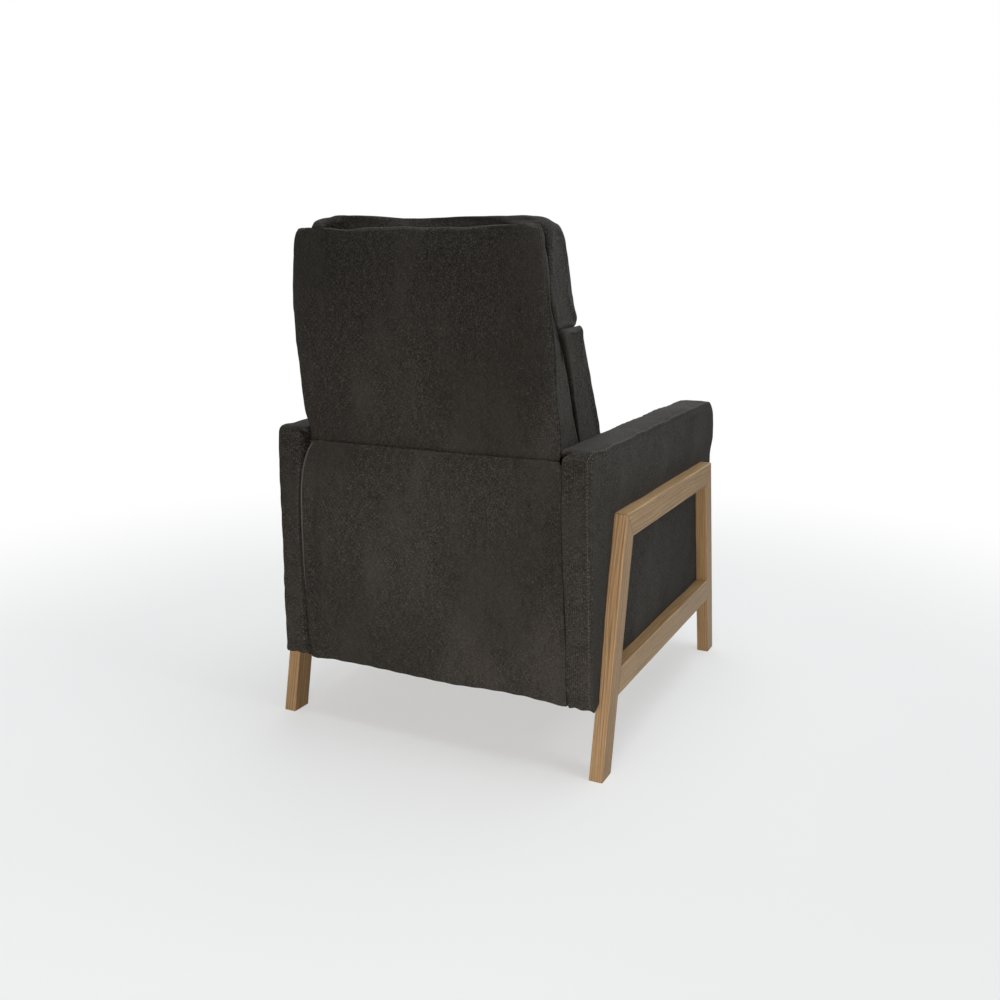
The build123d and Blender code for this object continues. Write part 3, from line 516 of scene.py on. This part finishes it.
def meshObject(name, points, faces, material, uvs=None, caps=(), rounded=True):
    mesh = bpy.data.meshes.new(name)
    mesh.from_pydata(points.tolist(), [], [*faces.tolist(), *caps])
    mesh.polygons.foreach_set("use_smooth", np.full(len(mesh.polygons), rounded))
    if uvs is not None:
        layer = mesh.uv_layers.new(name="weave")
        layer.data.foreach_set("uv", uvs.astype(np.float32).ravel())
    mesh.materials.append(material)
    made = bpy.data.objects.new(name, mesh)
    bpy.context.scene.collection.objects.link(made)
    return made


def readVectors(items, field):
    flat = np.zeros(len(items) * 3, np.float32)
    items.foreach_get(field, flat)
    return flat.reshape(-1, 3).astype(float)


def writePoints(mesh, points):
    mesh.vertices.foreach_set("co", points.astype(np.float32).ravel())
    mesh.update()


def ripple(points, scale, seed):
    # smooth unevenness of about -1 to 1: the sum of eight sine waves with seeded directions and phases, over four
    chance = np.random.default_rng(seed)
    waves = 8
    total = np.zeros(len(points))
    for turn in range(waves):
        direction = chance.normal(size=3)
        direction *= 2 * math.pi / (scale * chance.uniform(0.7, 1.5) * np.linalg.norm(direction))
        total += np.sin(points @ direction + chance.uniform(0, 2 * math.pi))
    return total / (waves / 2)


def smooth(value, low, high):
    # 0 at low and 1 at high, which may be the lesser of the two
    share = np.clip((value - low) / (high - low), 0, 1)
    return share * share * (3 - 2 * share)


def wave(place, pitch, phase=0):
    return np.sin(place * 2 * math.pi / pitch + phase)


def ridge(away, width):
    return np.exp(-(away / width) ** 2)


def pucker(x, z, spec):
    # a dent, height * exp(-(away / reach) ** 2), and folds that run out from it, cos(count * angle) in a ring round it
    away = np.hypot((x - spec["x"]) / spec["wide"], z - spec["z"])
    angle = np.arctan2(z - spec["z"], x - spec["x"])
    folds = spec["fold"] * np.cos(angle * spec["count"]) * ridge(away - spec["ring"], spec["ringWidth"])
    return spec["height"] * ridge(away, spec["reach"]) + folds


plainPadding = {  # what a padded piece has where it says nothing else
    "splits": [0, 1, 2, 3], "centre": steady(0), "softness": steady(1.0), "crowd": 0, "belly": (0, 0, 0, 0), "crown": 0,
    "seamDepth": 0, "mirror": False, "reshape": None, "relief": None, "stitched": False,
}
padded = []


def makePadded(name, changes):
    spec = {**plainPadding, **changes}
    shell = paddedShell(spec)
    points = shell["points"].copy()
    if spec["mirror"]:
        points = points * (-1, 1, 1)
        shell["faces"] = shell["faces"][:, ::-1]
        shell["uvs"] = shell["uvs"][:, ::-1]
    points[:, 0] += spec["centre"](points[:, 2])
    if spec["reshape"]:
        points = spec["reshape"](points, shell)
    made = meshObject(name, points, shell["faces"], clothMaterial, shell["uvs"])
    shell["rest"] = points
    if spec["seamDepth"] > 0:
        mesh = made.data
        pairs = np.zeros(len(mesh.edges) * 2, int)
        mesh.edges.foreach_get("vertices", pairs)
        onSeam = shell["seam"][pairs.reshape(-1, 2)].all(axis=1)
        attribute = mesh.attributes.new("crease_edge", "FLOAT", "EDGE")
        attribute.data.foreach_set("value", onSeam.astype(np.float32) * shellForm["crease"])
    padded.append((made, spec, shell))


# All sizes of the padded pieces are in metres, in the chair's frame. Corners go round the side outline (y, z)
# anticlockwise from the front of the bottom, and the splits name the four corners where one side ends and the next
# one starts: bottom, rear, top, front. Each half width, centre and softness is a function of z.

def widths(heights, edges):
    # half width and centre between two side edges, each given by its distance from x = 0
    left, right = np.array(edges[1]), np.array(edges[-1])
    return {"half": tapered(heights, (left + right) / 2), "centre": tapered(heights, (left - right) / 2)}


panelHeights = (0.131, 0.16, 0.193, 0.269, 0.344, 0.415, 0.48, 0.535, 0.572, 0.592)
panelEdge = {  # of the rear panel at those heights, on the sitter's left and right
    1: (0.281, 0.286, 0.2885, 0.289, 0.2884, 0.2892, 0.2852, 0.2785, 0.2665, 0.256),
    -1: (0.291, 0.289, 0.2871, 0.2842, 0.2806, 0.2766, 0.2738, 0.2726, 0.2735, 0.269),
}

arm = {
    "corners": [(-0.411, 0.138), (0.385, 0.138), (0.395, 0.6145), (-0.392, 0.6258), (-0.413, 0.43)],
    "radii": [0.014, 0.014, 0.018, 0.058, 0.2], "half": steady(0.03235), "edge": 0.014,
    "softness": tapered((0.56, 0.61), (0.6, 1.1)), "belly": (0, 0.002, 0.0015, 0.004), "crown": 0.003,
    "spacing": 0.0085, "rows": 9, "swell": 0.003, "seamDepth": 0.0034,
    "middle": 0.30035, "outerX": (0.3, 0.33), "rearY": (0.3, 0.36), "topZ": (0.49, 0.54), "proud": 0.006,
    "drawn": {1: 0.004, -1: 0.009}, "drawnY": (0.335, 0.392), "drawnZ": (0.15, 0.6),
    # the step down beside the rear panel: the grid row at its edge, the y of the board under it, where it starts and
    # ends, its least x, and the gap on each side of the panel's edge
    "stepRow": 6, "board": 0.3617, "stepY": (0.33, 0.358), "stepZ": (0.612, 0.598), "inner": {1: 0.275, -1: 0.2715},
    "gap": 0.0005, "slope": (-0.0012, 0.0008), "capY": 0.33, "capShare": 0.4,
    # the slack seam at the top of the outer side, and the crumpled bottom edge behind the rear leg
    "seamX": (0.31, 0.333), "seamZ": (0.575, 0.61), "wave": 0.0008, "pitches": (0.118, 0.071), "second": 0.6,
    "crumpleZ": (0.165, 0.138), "crumpleY": (0.33, 0.375), "crumple": (0.001, 0.002, 0.023), "crumpleOut": 0.005,
}


def armReshape(points, shell):
    # inside the panel's edge the rear goes back to the board in one step between two rows of the grid, which are
    # moved to x = edge; the outer side stands proud of the wood beside it, and is drawn in at the rear top corner
    side = 1 if points[:, 0].mean() > 0 else -1
    points = points.copy()
    outer = smooth(points[:, 0] * side, *arm["outerX"])
    beside = np.maximum(smooth(points[:, 1], *arm["rearY"]), smooth(points[:, 2], *arm["topZ"]))
    drawn = smooth(points[:, 1], *arm["drawnY"]) * smooth(points[:, 2], *arm["drawnZ"]) * arm["drawn"][side]
    points[:, 0] += side * outer * (beside * arm["proud"] - drawn)
    band, row = shell["band"], arm["stepRow"]
    x, y, z = points[band].transpose(2, 0, 1) * np.array((side, 1, 1))[:, None, None]
    share = smooth(y, *arm["stepY"]) * smooth(z, *arm["stepZ"])
    edge = np.maximum(np.interp(z, panelHeights, panelEdge[side]), arm["inner"][side]) + arm["gap"]
    first, last = x[0], x[-1]
    place = (x - first) / (last - first)
    inside = (np.arange(len(band)) <= row)[:, None] * share
    before, after = (edge + slope for slope in arm["slope"])
    target = np.where(
        inside > 0, first + (before - first) * np.clip(place / place[row], 0, 1),
        after + (last - after) * np.clip((place - place[row + 1]) / (1 - place[row + 1]), 0, 1))
    x = x + share * (target - x)
    y = y + inside * np.minimum(arm["board"] - y, 0)
    points[band] = np.stack([x * side, y, z], axis=2)
    cap = np.ones(len(points), bool)
    cap[band] = False
    cap &= (points[:, 0] * side < arm["middle"]) & (points[:, 1] > arm["capY"])
    points[cap, 1] -= smooth(points[cap, 2], *arm["stepZ"]) * (points[cap, 1] - arm["capY"]) * arm["capShare"]
    return points


def armRelief(points, normals):
    # z gets two sine waves of y along the outer top seam and one of x along the crumpled edge, where x is pushed out
    side = 1 if points[:, 0].mean() > 0 else -1
    points = points.copy()
    outer = smooth(points[:, 0] * side, *arm["seamX"])
    first, second = (wave(points[:, 1], pitch, phase) for pitch, phase in zip(arm["pitches"], (side, 0)))
    points[:, 2] += outer * smooth(points[:, 2], *arm["seamZ"]) * (first + arm["second"] * second) * arm["wave"]
    low = smooth(points[:, 2], *arm["crumpleZ"]) * smooth(points[:, 1], *arm["crumpleY"])
    sunk, depth, pitch = arm["crumple"]
    points[:, 2] -= low * (sunk + depth * wave(points[:, 0], pitch))
    points[:, 0] += low * outer * side * arm["crumpleOut"]
    return points


for side, mirror in (("left", False), ("right", True)):
    makePadded("arm_padding_" + side, {
        **arm, "mirror": mirror, "centre": steady(arm["middle"] * (-1 if mirror else 1)), "reshape": armReshape,
        "relief": armRelief, "node": "arm_pad_" + side, "body": "base", "fill": 0.75, "seed": 11 if mirror else 12,
        "stitched": True})

panel = {
    "corners": [(0.362, 0.1365), (0.38, 0.1365), (0.3865, 0.5925), (0.3815, 0.5925), (0.379, 0.577), (0.362, 0.577)],
    "radii": [0.002, 0.004, 0.0022, 0.0012, 0.002, 0.002], "splits": [0, 1, 2, 5], "crowd": 0.62, "edge": 0.005,
    "belly": (0, 0.002, 0, 0), "spacing": 0.008, "rows": 76, "swell": 0.0015, "rearY": (0.366, 0.374),
    # lift of the lower edge at places across it, and a finer wave on it
    "lowZ": (0.19, 0.14), "liftX": (-0.29, -0.248, -0.199, -0.149, -0.098, -0.046, 0.062, 0.156, 0.234, 0.29),
    "lift": (0.0, 0.0014, 0.0036, 0.0038, 0.002, 0.0001, -0.0016, 0.0001, -0.0011, -0.0035),
    "wave": 0.0006, "pitch": 0.043,
    # raised and sunk lines: the side of the edge beside each, the distance from it at the floor, the change of that per
    # metre of height, width, height, and the z where it is gone and where it is whole
    "lines": [(1, 0.005, 0, 0.006, 0.006, 0.22, 0.36), (1, 0.022, 0, 0.011, -0.0065, 0.14, 0.25),
              (1, 0.018, -0.02, 0.004, 0.003, 0.46, 0.33), (-1, 0, 0, 0.008, 0.002, 0.58, 0.54)],
    "shade": 0.006, "shadeZ": (0.53, 0.592), "rimZ": (0.592, 0.58),  # the top leans in, below an upright rim
    "pucker": {"z": 0.582, "wide": 1, "reach": 0.016, "fold": 0.0026, "count": 7, "ring": 0.022, "ringWidth": 0.016},
    "puckers": [{"x": -0.261, "height": 0.01}, {"x": 0.247, "height": 0.003}],
}


def panelRelief(points, normals):
    # z gets the lift of the lower edge, and y gets a ridge for each line, the shaded top and the puckers
    points = points.copy()
    x, y, z = points.T  # these follow each change of the points
    rear = smooth(y, *panel["rearY"])
    low = smooth(z, *panel["lowZ"])
    points[:, 2] += low * np.interp(x, panel["liftX"], panel["lift"])
    points[:, 2] += low * panel["wave"] * wave(x, panel["pitch"])
    for side, start, lean, width, height, gone, whole in panel["lines"]:
        away = np.interp(z, panelHeights, panelEdge[side]) - side * x - start - lean * z
        points[:, 1] += rear * height * ridge(away, width) * smooth(z, gone, whole)
    points[:, 1] -= rear * panel["shade"] * smooth(z, *panel["shadeZ"]) * smooth(z, *panel["rimZ"])
    for place in panel["puckers"]:
        points[:, 1] += rear * pucker(x, z, {**panel["pucker"], **place})
    return points


makePadded("rear_panel_padding", {
    **panel, **widths(panelHeights, panelEdge), "relief": panelRelief, "node": "rear_panel", "body": "base",
    "fill": 0.5, "seed": 21})

hem = {  # rolled edge on the panel's left, in a lighter cloth that is a painted highlight along it: places (x, y, z) along it, and its radius
    "path": ((0.25, 0.3885, 0.59), (0.2619, 0.3905, 0.5714), (0.2729, 0.392, 0.5406), (0.2804, 0.3915, 0.4795),
             (0.2848, 0.39, 0.4073), (0.2842, 0.388, 0.3451), (0.2832, 0.385, 0.28)),
    "curve": 4,  # degree of the curve through them
    "radius": 0.0021, "around": 12, "step": 0.004, "endPower": 12, "least": 0.02, "thinner": 0.5,
}


def rollHem(spec):
    # P(s, t) = path(s) + radius * taper(s) * (cos t * side + sin t * up), t around and s along, closed at both ends
    path = np.array(spec["path"])
    travelled = travel(path)
    places = np.linspace(0, travelled[-1], int(travelled[-1] / spec["step"]))
    curves = [np.polyfit(travelled, column, spec["curve"]) for column in path.T]
    line = np.stack([np.polyval(curve, places) for curve in curves], axis=1)
    run = np.gradient(line, axis=0)
    run /= np.linalg.norm(run, axis=1)[:, None]
    side = np.cross(run, (0, 1, 0))
    side /= np.linalg.norm(side, axis=1)[:, None]
    up = np.cross(side, run)
    share = places / travelled[-1]
    taper = np.sqrt(np.clip(hump(share, spec["endPower"]), spec["least"], 1))
    thick = spec["radius"] * taper * (1 - spec["thinner"] * smooth(share, 0.5, 1))
    turn = np.arange(spec["around"]) * 2 * math.pi / spec["around"]
    points = line[:, None] + thick[:, None, None] * (
        np.cos(turn)[None, :, None] * side[:, None] + np.sin(turn)[None, :, None] * up[:, None])
    rings = np.arange(points[:, :, 0].size).reshape(len(places), -1)
    caps = [rings[0, ::-1].tolist(), rings[-1].tolist()]
    # the tube wears the lighter hem cloth, which is a painted highlight on the rolled edge
    made = meshObject("panel_hem", points.reshape(-1, 3), tubeCells(rings), hemHighlightMaterial, None, caps)
    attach(made, "base")


rollHem(hem)

backHeights = (0.583, 0.612, 0.64, 0.7, 0.78, 0.85, 0.9, 0.935, 0.97, 0.983, 0.992)
backEdge = {  # of the back at those heights, on the sitter's left and right
    1: (0.2665, 0.2755, 0.2805, 0.279, 0.2805, 0.275, 0.2675, 0.2635, 0.2605, 0.256, 0.245),
    -1: (0.262, 0.2635, 0.263, 0.26, 0.257, 0.252, 0.2495, 0.247, 0.243, 0.239, 0.229),
}

# y of the meeting face of the back and its cushions: the back is shallower than a plane cut towards its top
meeting = tapered((0.388, 0.593, 0.682, 0.747, 0.806, 0.852, 0.9, 0.96), (
    0.191, 0.259, 0.289, 0.316, 0.347, 0.372, 0.39, 0.401))


def meetingPoints(heights, gap):
    return [(float(meeting(z)) + gap, z) for z in heights]


back = {
    "corners": [(0.256, 0.5815), (0.3775, 0.5815), (0.404, 0.705), (0.417, 0.809), (0.4215, 0.949), (0.416, 0.989),
                (0.405, 0.99), *meetingPoints((0.9, 0.852, 0.806, 0.747, 0.682), 0.0)],
    "radii": [0.01, 0.005, 0.3, 0.4, 0.06, 0.008, 0.004, 0.1, 0.3, 0.3, 0.3, 0.3],
    "splits": [0, 1, 5, 6], "edge": 0.03, "belly": (0, 0.003, 0.001, 0), "crown": 0.001, "spacing": 0.0085,
    "rows": 60, "swell": 0.002,
    "topZ": (0.955, 0.985), "waves": [(0.0014, 0.21, 0.6), (0.0008, 0.083, 0)],  # height, pitch and phase of each
    "rear": (0.2, 0.7),  # of the normal's y, where the cover faces the rear
    "pucker": {"x": -0.062, "z": 0.978, "wide": 1.6, "height": -0.004, "reach": 0.01, "fold": 0.0014, "count": 5,
               "ring": 0.018, "ringWidth": 0.014},
}


def backRelief(points, normals):
    # z gets two sine waves of x along the top edge, and y gets one pucker under it
    points = points.copy()
    x, y, z = points.T  # these follow each change of the points
    top = smooth(z, *back["topZ"])
    points[:, 2] += top * sum(height * wave(x, pitch, phase) for height, pitch, phase in back["waves"])
    points[:, 1] += smooth(normals[:, 1], *back["rear"]) * pucker(x, z, back["pucker"])
    return points


makePadded("back_padding", {
    **back, **widths(backHeights, backEdge), "relief": backRelief, "node": "back_upholstery", "body": "back",
    "fill": 0.6, "seed": 31})

frameBars = {  # stiles and rails of the back's wooden frame
    "heights": (0.478, 0.56, 0.64, 0.72, 0.79, 0.85, 0.9, 0.941), "rails": ((0.622, 0.68), (0.882, 0.94)),
    "front": 0.3032, "lean": 0.1727, "bend": 0.6,  # y at the lowest height, its slope, and the z where it may bend
    "gap": 0.004, "depth": 0.024, "rear": ((0.583, 0.705, 0.809, 0.949), (0.372, 0.396, 0.409, 0.412)),
    "outer": 0.2325, "inner": 0.2025, "inset": 0.022,
}


def barMesh(edges, heights, spec):
    # a bar of four faces: front(z) = the greater of a straight line and the meeting face, rear(z) = front + depth
    z = np.array(heights)
    straight = spec["front"] + (z - spec["heights"][0]) * spec["lean"]
    front = np.where(z < spec["bend"], straight, np.maximum(straight, meeting(z) + spec["gap"]))
    rear = np.minimum(front + spec["depth"], np.interp(z, *spec["rear"]))
    low, high = (edge(z) for edge in edges)
    corners = ((low, front), (high, front), (high, rear), (low, rear))
    points = np.stack([np.stack([x, y, z], axis=1) for x, y in corners], axis=1)
    rings = np.arange(len(z) * 4).reshape(len(z), 4)
    return points.reshape(-1, 3), np.concatenate([tubeCells(rings), rings[:1, ::-1], rings[-1:]])


def makeBackFrame(spec):
    outer = {side: lambda z, side=side: side * np.minimum(
        spec["outer"], np.interp(z, backHeights, backEdge[side]) - spec["inset"]) for side in (1, -1)}
    inner = {side: steady(side * spec["inner"]) for side in (1, -1)}
    bars = [((inner[1], outer[1]), spec["heights"]), ((outer[-1], inner[-1]), spec["heights"])]
    bars += [((inner[-1], inner[1]), heights) for heights in spec["rails"]]
    points, faces, count = [], [], 0
    for edges, heights in bars:
        barPoints, barFaces = barMesh(edges, heights, spec)
        points.append(barPoints)
        faces.append(barFaces + count)
        count += len(barPoints)
    made = meshObject(
        "back_frame_bars", np.concatenate(points), np.concatenate(faces), boardMaterial, rounded=False)
    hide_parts("back_frame")
    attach(made, "back")


makeBackFrame(frameBars)

tongue = {"low": 0.4525, "high": 0.579, "gap": 0.001, "depth": 0.06}
makePadded("back_tongue_padding", {
    "corners": [*meetingPoints((tongue["low"],), tongue["gap"]),
                *meetingPoints((tongue["low"], tongue["high"]), tongue["depth"]),
                *meetingPoints((tongue["high"],), tongue["gap"])],
    "radii": [0.006, 0.006, 0.004, 0.004], "half": steady(0.199), "edge": 0.008, "spacing": 0.01, "rows": 36,
    "swell": 0.002, "node": "back_upholstery", "body": "back", "fill": 0.6, "seed": 35})

makePadded("lumbar_padding", {
    "corners": [(0.114, 0.388), *meetingPoints((0.388, 0.593, 0.682, 0.747, 0.818), -0.001),
                (0.262, 0.823), (0.24, 0.788), (0.196, 0.7116), (0.16, 0.6475), (0.136, 0.6), (0.102, 0.48)],
    "radii": [0.024, 0.014, 0.4, 0.3, 0.3, 0.018, 0.022, 0.08, 0.3, 0.3, 0.3, 0.1],
    "splits": [0, 1, 5, 6], "half": steady(0.2605), "edge": 0.025, "softness": tapered((0.78, 0.815), (1.0, 0.5)),
    "belly": (0, 0, 0.002, 0.011), "crown": 0.002, "spacing": 0.0105, "rows": 44, "swell": 0.012,
    "seamDepth": 0.0014, "node": "lumbar_cushion", "body": "back", "fill": 0.7, "seed": 41})

pillowRise = {  # lift of the pillow's top at places across it, which comes in over these heights
    "x": (-0.25, -0.228, -0.213, -0.168, -0.075, 0.022, 0.073, 0.125, 0.196, 0.25),
    "lift": (-0.003, 0.0005, 0.0005, -0.0035, -0.0025, -0.0015, 0.0005, 0.0035, 0.0058, 0.0075),
    "z": (0.9, 0.99),
}


def pillowRelief(points, normals):
    # the top is plumped unevenly, higher at the sitter's left
    points = points.copy()
    rise = np.interp(points[:, 0], pillowRise["x"], pillowRise["lift"])
    points[:, 2] += smooth(points[:, 2], *pillowRise["z"]) * rise
    return points


makePadded("head_padding", {
    "corners": [(0.251, 0.814), *meetingPoints((0.814, 0.852, 0.9), -0.001), (0.3985, 0.962), (0.392, 1.003),
                (0.318, 0.998), (0.286, 0.915)],
    "radii": [0.022, 0.016, 0.3, 0.1, 0.06, 0.024, 0.044, 0.2], "splits": [0, 1, 5, 6],
    "half": tapered((0.9, 0.95, 1.003), (0.251, 0.249, 0.244)), "centre": tapered((0.9, 1.003), (0.002, 0.0)),
    "edge": 0.028, "softness": tapered((0.83, 0.88), (0.35, 1.0)), "belly": (0, 0, 0.004, 0.014),
    "crown": 0.002, "spacing": 0.0095, "rows": 44, "swell": 0.01, "seamDepth": 0.0014, "relief": pillowRelief,
    "node": "head_pillow", "body": "back", "fill": 0.7, "seed": 51})

makePadded("seat_padding", {
    "corners": [(-0.395, 0.386), (0.094, 0.386), (0.094, 0.462), (-0.395, 0.462)],
    "radii": [0.016, 0.018, 0.026, 0.03], "half": steady(0.2605), "edge": 0.018, "belly": (0, 0, 0.011, 0.002),
    "crown": 0.0015, "spacing": 0.0105, "rows": 46, "swell": 0.012, "seamDepth": 0.0024, "node": "seat_cushion",
    "body": "seat", "fill": 0.75, "seed": 61})

makePadded("seat_border_padding", {
    "corners": [(-0.395, 0.341), (-0.3683, 0.341), (-0.3683, 0.3855), (-0.395, 0.3855)],
    "radii": [0.008, 0.006, 0.006, 0.008], "half": steady(0.2615), "edge": 0.007, "spacing": 0.009, "rows": 50,
    "swell": 0.002, "seamDepth": 0.001, "node": "seat_front_border", "body": "seat", "fill": 0.5, "seed": 71})

makePadded("footrest_padding", {
    "corners": [(-0.403, 0.147), (-0.3613, 0.147), (-0.3613, 0.334), (-0.403, 0.334)],
    "radii": [0.014, 0.008, 0.008, 0.014], "half": steady(0.2605), "edge": 0.012, "belly": (0, 0, 0, 0.006),
    "crown": 0.0015, "spacing": 0.009, "rows": 52, "swell": 0.006, "seamDepth": 0.002, "node": "ottoman_pad",
    "body": "ottoman", "fill": 0.6, "seed": 81})
print("padded shells are made:", len(padded))

clothRun = {
    "frames": 20, "pressure": 4.0, "quality": 5, "tension": 18.0, "bending": 1.2, "slack": 0.012, "tiny": 1e-9,
}


def simulate(pieces, spec):
    # air pressure fills each closed shell while its seams are pinned, and a point moves no further than its swell
    scene = bpy.context.scene
    for made, size, shell in pieces:
        group = made.vertex_groups.new(name="held")
        group.add([int(n) for n in np.flatnonzero(shell["seam"])], 1.0, "REPLACE")
        cloth = made.modifiers.new("filling", "CLOTH")
        settings = cloth.settings
        settings.quality = spec["quality"]
        settings.use_pressure = True
        settings.uniform_pressure_force = spec["pressure"]
        settings.effector_weights.gravity = 0
        settings.tension_stiffness = settings.compression_stiffness = spec["tension"]
        settings.shear_stiffness = spec["tension"] / 2
        settings.bending_stiffness = spec["bending"]
        settings.shrink_min = -spec["slack"]
        settings.vertex_group_mass = group.name
        cloth.point_cache.frame_start = 1
        cloth.point_cache.frame_end = spec["frames"]
    for step in range(1, spec["frames"] + 1):
        scene.frame_set(step)
    graph = bpy.context.evaluated_depsgraph_get()
    swollen = [readVectors(made.evaluated_get(graph).to_mesh().vertices, "co") for made, size, shell in pieces]
    for (made, size, shell), points in zip(pieces, swollen):
        made.modifiers.clear()
        made.vertex_groups.clear()
        moved = points - shell["rest"]
        length = np.linalg.norm(moved, axis=1)[:, None] + spec["tiny"]
        writePoints(made.data, shell["rest"] + moved / length * size["swell"] * np.tanh(length / size["swell"]))
    scene.frame_set(1)


simulate(padded, clothRun)
print("cloth is filled")

stitch = {
    "pitch": 0.0062, "length": 0.0042, "thickness": 0.00055, "lift": 0.0004, "around": 6,
    "row": {1: 0.6, -1: 2.2},  # of the arm's grid, counted from its outer side
    "stations": (0.0, 0.15, 0.5, 0.85, 1.0), "swell": (0.35, 0.85, 1.0, 0.85, 0.35),
}


def stitchMesh(line, normals, spec):
    # each stitch is a six-sided rod along the line, thick in its middle and sunk at its ends:
    # ring(k) = centre(k) + thickness * swell(k) * (cos * normal + sin * side)
    travelled, swell = travel(line), np.array(spec["swell"])
    starts = np.arange(spec["pitch"], travelled[-1] - spec["pitch"], spec["pitch"])
    places = starts[:, None] + spec["length"] * np.array(spec["stations"])[None]
    centre, normal = (readAlong(values, travelled, places) for values in (line, normals))
    normal /= np.linalg.norm(normal, axis=2)[:, :, None]
    run = (centre[:, -1] - centre[:, 0])[:, None]
    side = np.cross(run / np.linalg.norm(run, axis=2)[:, :, None], normal)
    centre = centre + normal * (spec["lift"] * swell)[None, :, None]
    turn = np.arange(spec["around"]) * 2 * math.pi / spec["around"]
    ring = normal[:, :, None] * np.cos(turn)[:, None] + side[:, :, None] * np.sin(turn)[:, None]
    points = centre[:, :, None] + ring * (spec["thickness"] * swell)[None, :, None, None]
    rings = np.arange(points[..., 0].size).reshape(points.shape[:3])
    caps = np.concatenate([rings[:, 0, ::-1], rings[:, -1]])
    return points.reshape(-1, 3), tubeCells(rings), caps.tolist()


def sewRow(made, spec, shell):
    # a stitch line lies between two rows of the padding's grid, over its rear, top and front sides
    band, sewn = shell["band"], np.flatnonzero(shell["sideOf"] > 0)
    row = len(band) - 1 - stitch["row"][-1 if spec["mirror"] else 1]
    low, share = int(row), row - int(row)
    vectors = (readVectors(made.data.vertices, "co"), readVectors(made.data.vertex_normals, "vector"))
    line, normals = (values[band[low, sewn]] * (1 - share) + values[band[low + 1, sewn]] * share for values in vectors)
    points, quads, caps = stitchMesh(line, normals, stitch)
    row = meshObject(made.name + "_stitches", points, quads, threadMaterial, None, caps)
    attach(row, spec["body"])


unevenness = {  # scale and height of each ripple of a cover, the last of them within reach of its seams
    "broad": (0.16, 0.0012), "middle": (0.055, 0.0004), "seam": (0.019, 0.0008), "reach": 0.012,
}
for made, spec, shell in padded:
    mesh = made.data
    points, normals = readVectors(mesh.vertices, "co"), readVectors(mesh.vertex_normals, "vector")
    if spec["relief"]:
        points = spec["relief"](points, normals)
    broad, middle, besideSeam = (
        ripple(points, unevenness[kind][0], spec["seed"] + n) * unevenness[kind][1]
        for n, kind in enumerate(("broad", "middle", "seam")))
    near = np.exp(-shell["fromSeam"] / unevenness["reach"])
    lift = broad + middle + near * besideSeam - spec["seamDepth"] * shell["seam"]
    writePoints(mesh, points + normals * lift[:, None])
    finer = made.modifiers.new("finer", "SUBSURF")
    finer.levels = finer.render_levels = 1
    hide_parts(spec["node"])
    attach(made, spec["body"])
    if spec["stitched"]:
        sewRow(made, spec, shell)
print("padding is relieved, smoothed, sewn and placed")

studio = {  # a pale floor that fades to white, a plain white world, and four soft lamps
    "floorHalf": 12.0, "floorColour": (0.86, 0.86, 0.86, 1), "fadeFrom": 0.5, "fadeTo": 2.4, "whiteLeast": 0.5,
    "white": {"Color": (1, 1, 1, 1), "Strength": 1.0}, "worldLight": 0.11,
    "lamps": [  # name, place, aim, size, power, tint, and spread in degrees
        ("overhead", (-0.3, -0.2, 3.0), (0, 0, 0.3), 2.4, 63, (0.89, 0.97, 1.0), 180),
        ("rear_low", (-0.65, 2.6, 0.45), (-0.1, 0.38, 0.12), 1.3, 5.7, (1.0, 0.91, 0.8), 48),
        ("right_high", (-1.9, 0.3, 1.9), (-0.2, 0.3, 0.95), 1.0, 3.3, (0.94, 0.98, 1.0), 60),
        ("front_fill", (1.6, -2.8, 2.0), (0, 0, 0.4), 2.4, 23, (1.0, 1.0, 1.0), 180)],
}


def layFloor(spec):
    points = np.array([(-1, -1, 0), (1, -1, 0), (1, 1, 0), (-1, 1, 0)]) * spec["floorHalf"]
    sheet = nodeSheet("studio_floor")
    x, y = sheet.split(sheet.position())[:2]
    fade = sheet.between((x * x + y * y) ** 0.5, spec["fadeFrom"], spec["fadeTo"])
    seen = sheet.node("LightPath")
    share = seen * (fade * (1 - spec["whiteLeast"]) + spec["whiteLeast"])
    pale = sheet.node("BsdfDiffuse", None, {"Color": spec["floorColour"]})
    white = sheet.node("Emission", None, spec["white"])
    surface = sheet.node("MixShader", None, {0: share, 1: pale, 2: white})
    sheet.node("OutputMaterial", None, {"Surface": surface})
    floor = meshObject("studio_floor", points, np.array([[0, 1, 2, 3]]), sheet.holder)


def lightWorld(spec):
    # the camera, mirrors and glass see a white world, and everything else is lit by a dim one
    world = bpy.data.worlds.new("studio_world")
    bpy.context.scene.world = world
    sheet = nodeSheet("studio_world", world)
    camera, glossy, clear = (sheet.node("LightPath", None, None, n) for n in (0, 3, 6))
    light = sheet.node("Background", None, {**spec["white"], "Strength": spec["worldLight"]})
    white = sheet.node("Background", None, spec["white"])
    mix = sheet.node("MixShader", None, {0: camera.most(glossy).most(clear), 1: light, 2: white})
    sheet.node("OutputWorld", None, {"Surface": mix})
    for name, place, aim, size, power, tint, spread in spec["lamps"]:
        light = bpy.data.lights.new(name, "AREA")
        light.size, light.energy, light.color, light.spread = size, power, tint, math.radians(spread)
        made = bpy.data.objects.new(name, light)
        turned = (Vector(aim) - Vector(place)).to_track_quat("-Z", "Y").to_matrix().to_4x4()
        made.matrix_world = Matrix.Translation(place) @ turned
        bpy.context.scene.collection.objects.link(made)


layFloor(studio)
lightWorld(studio)
bpy.context.scene.view_settings.view_transform = "Standard"
print("studio is lit")
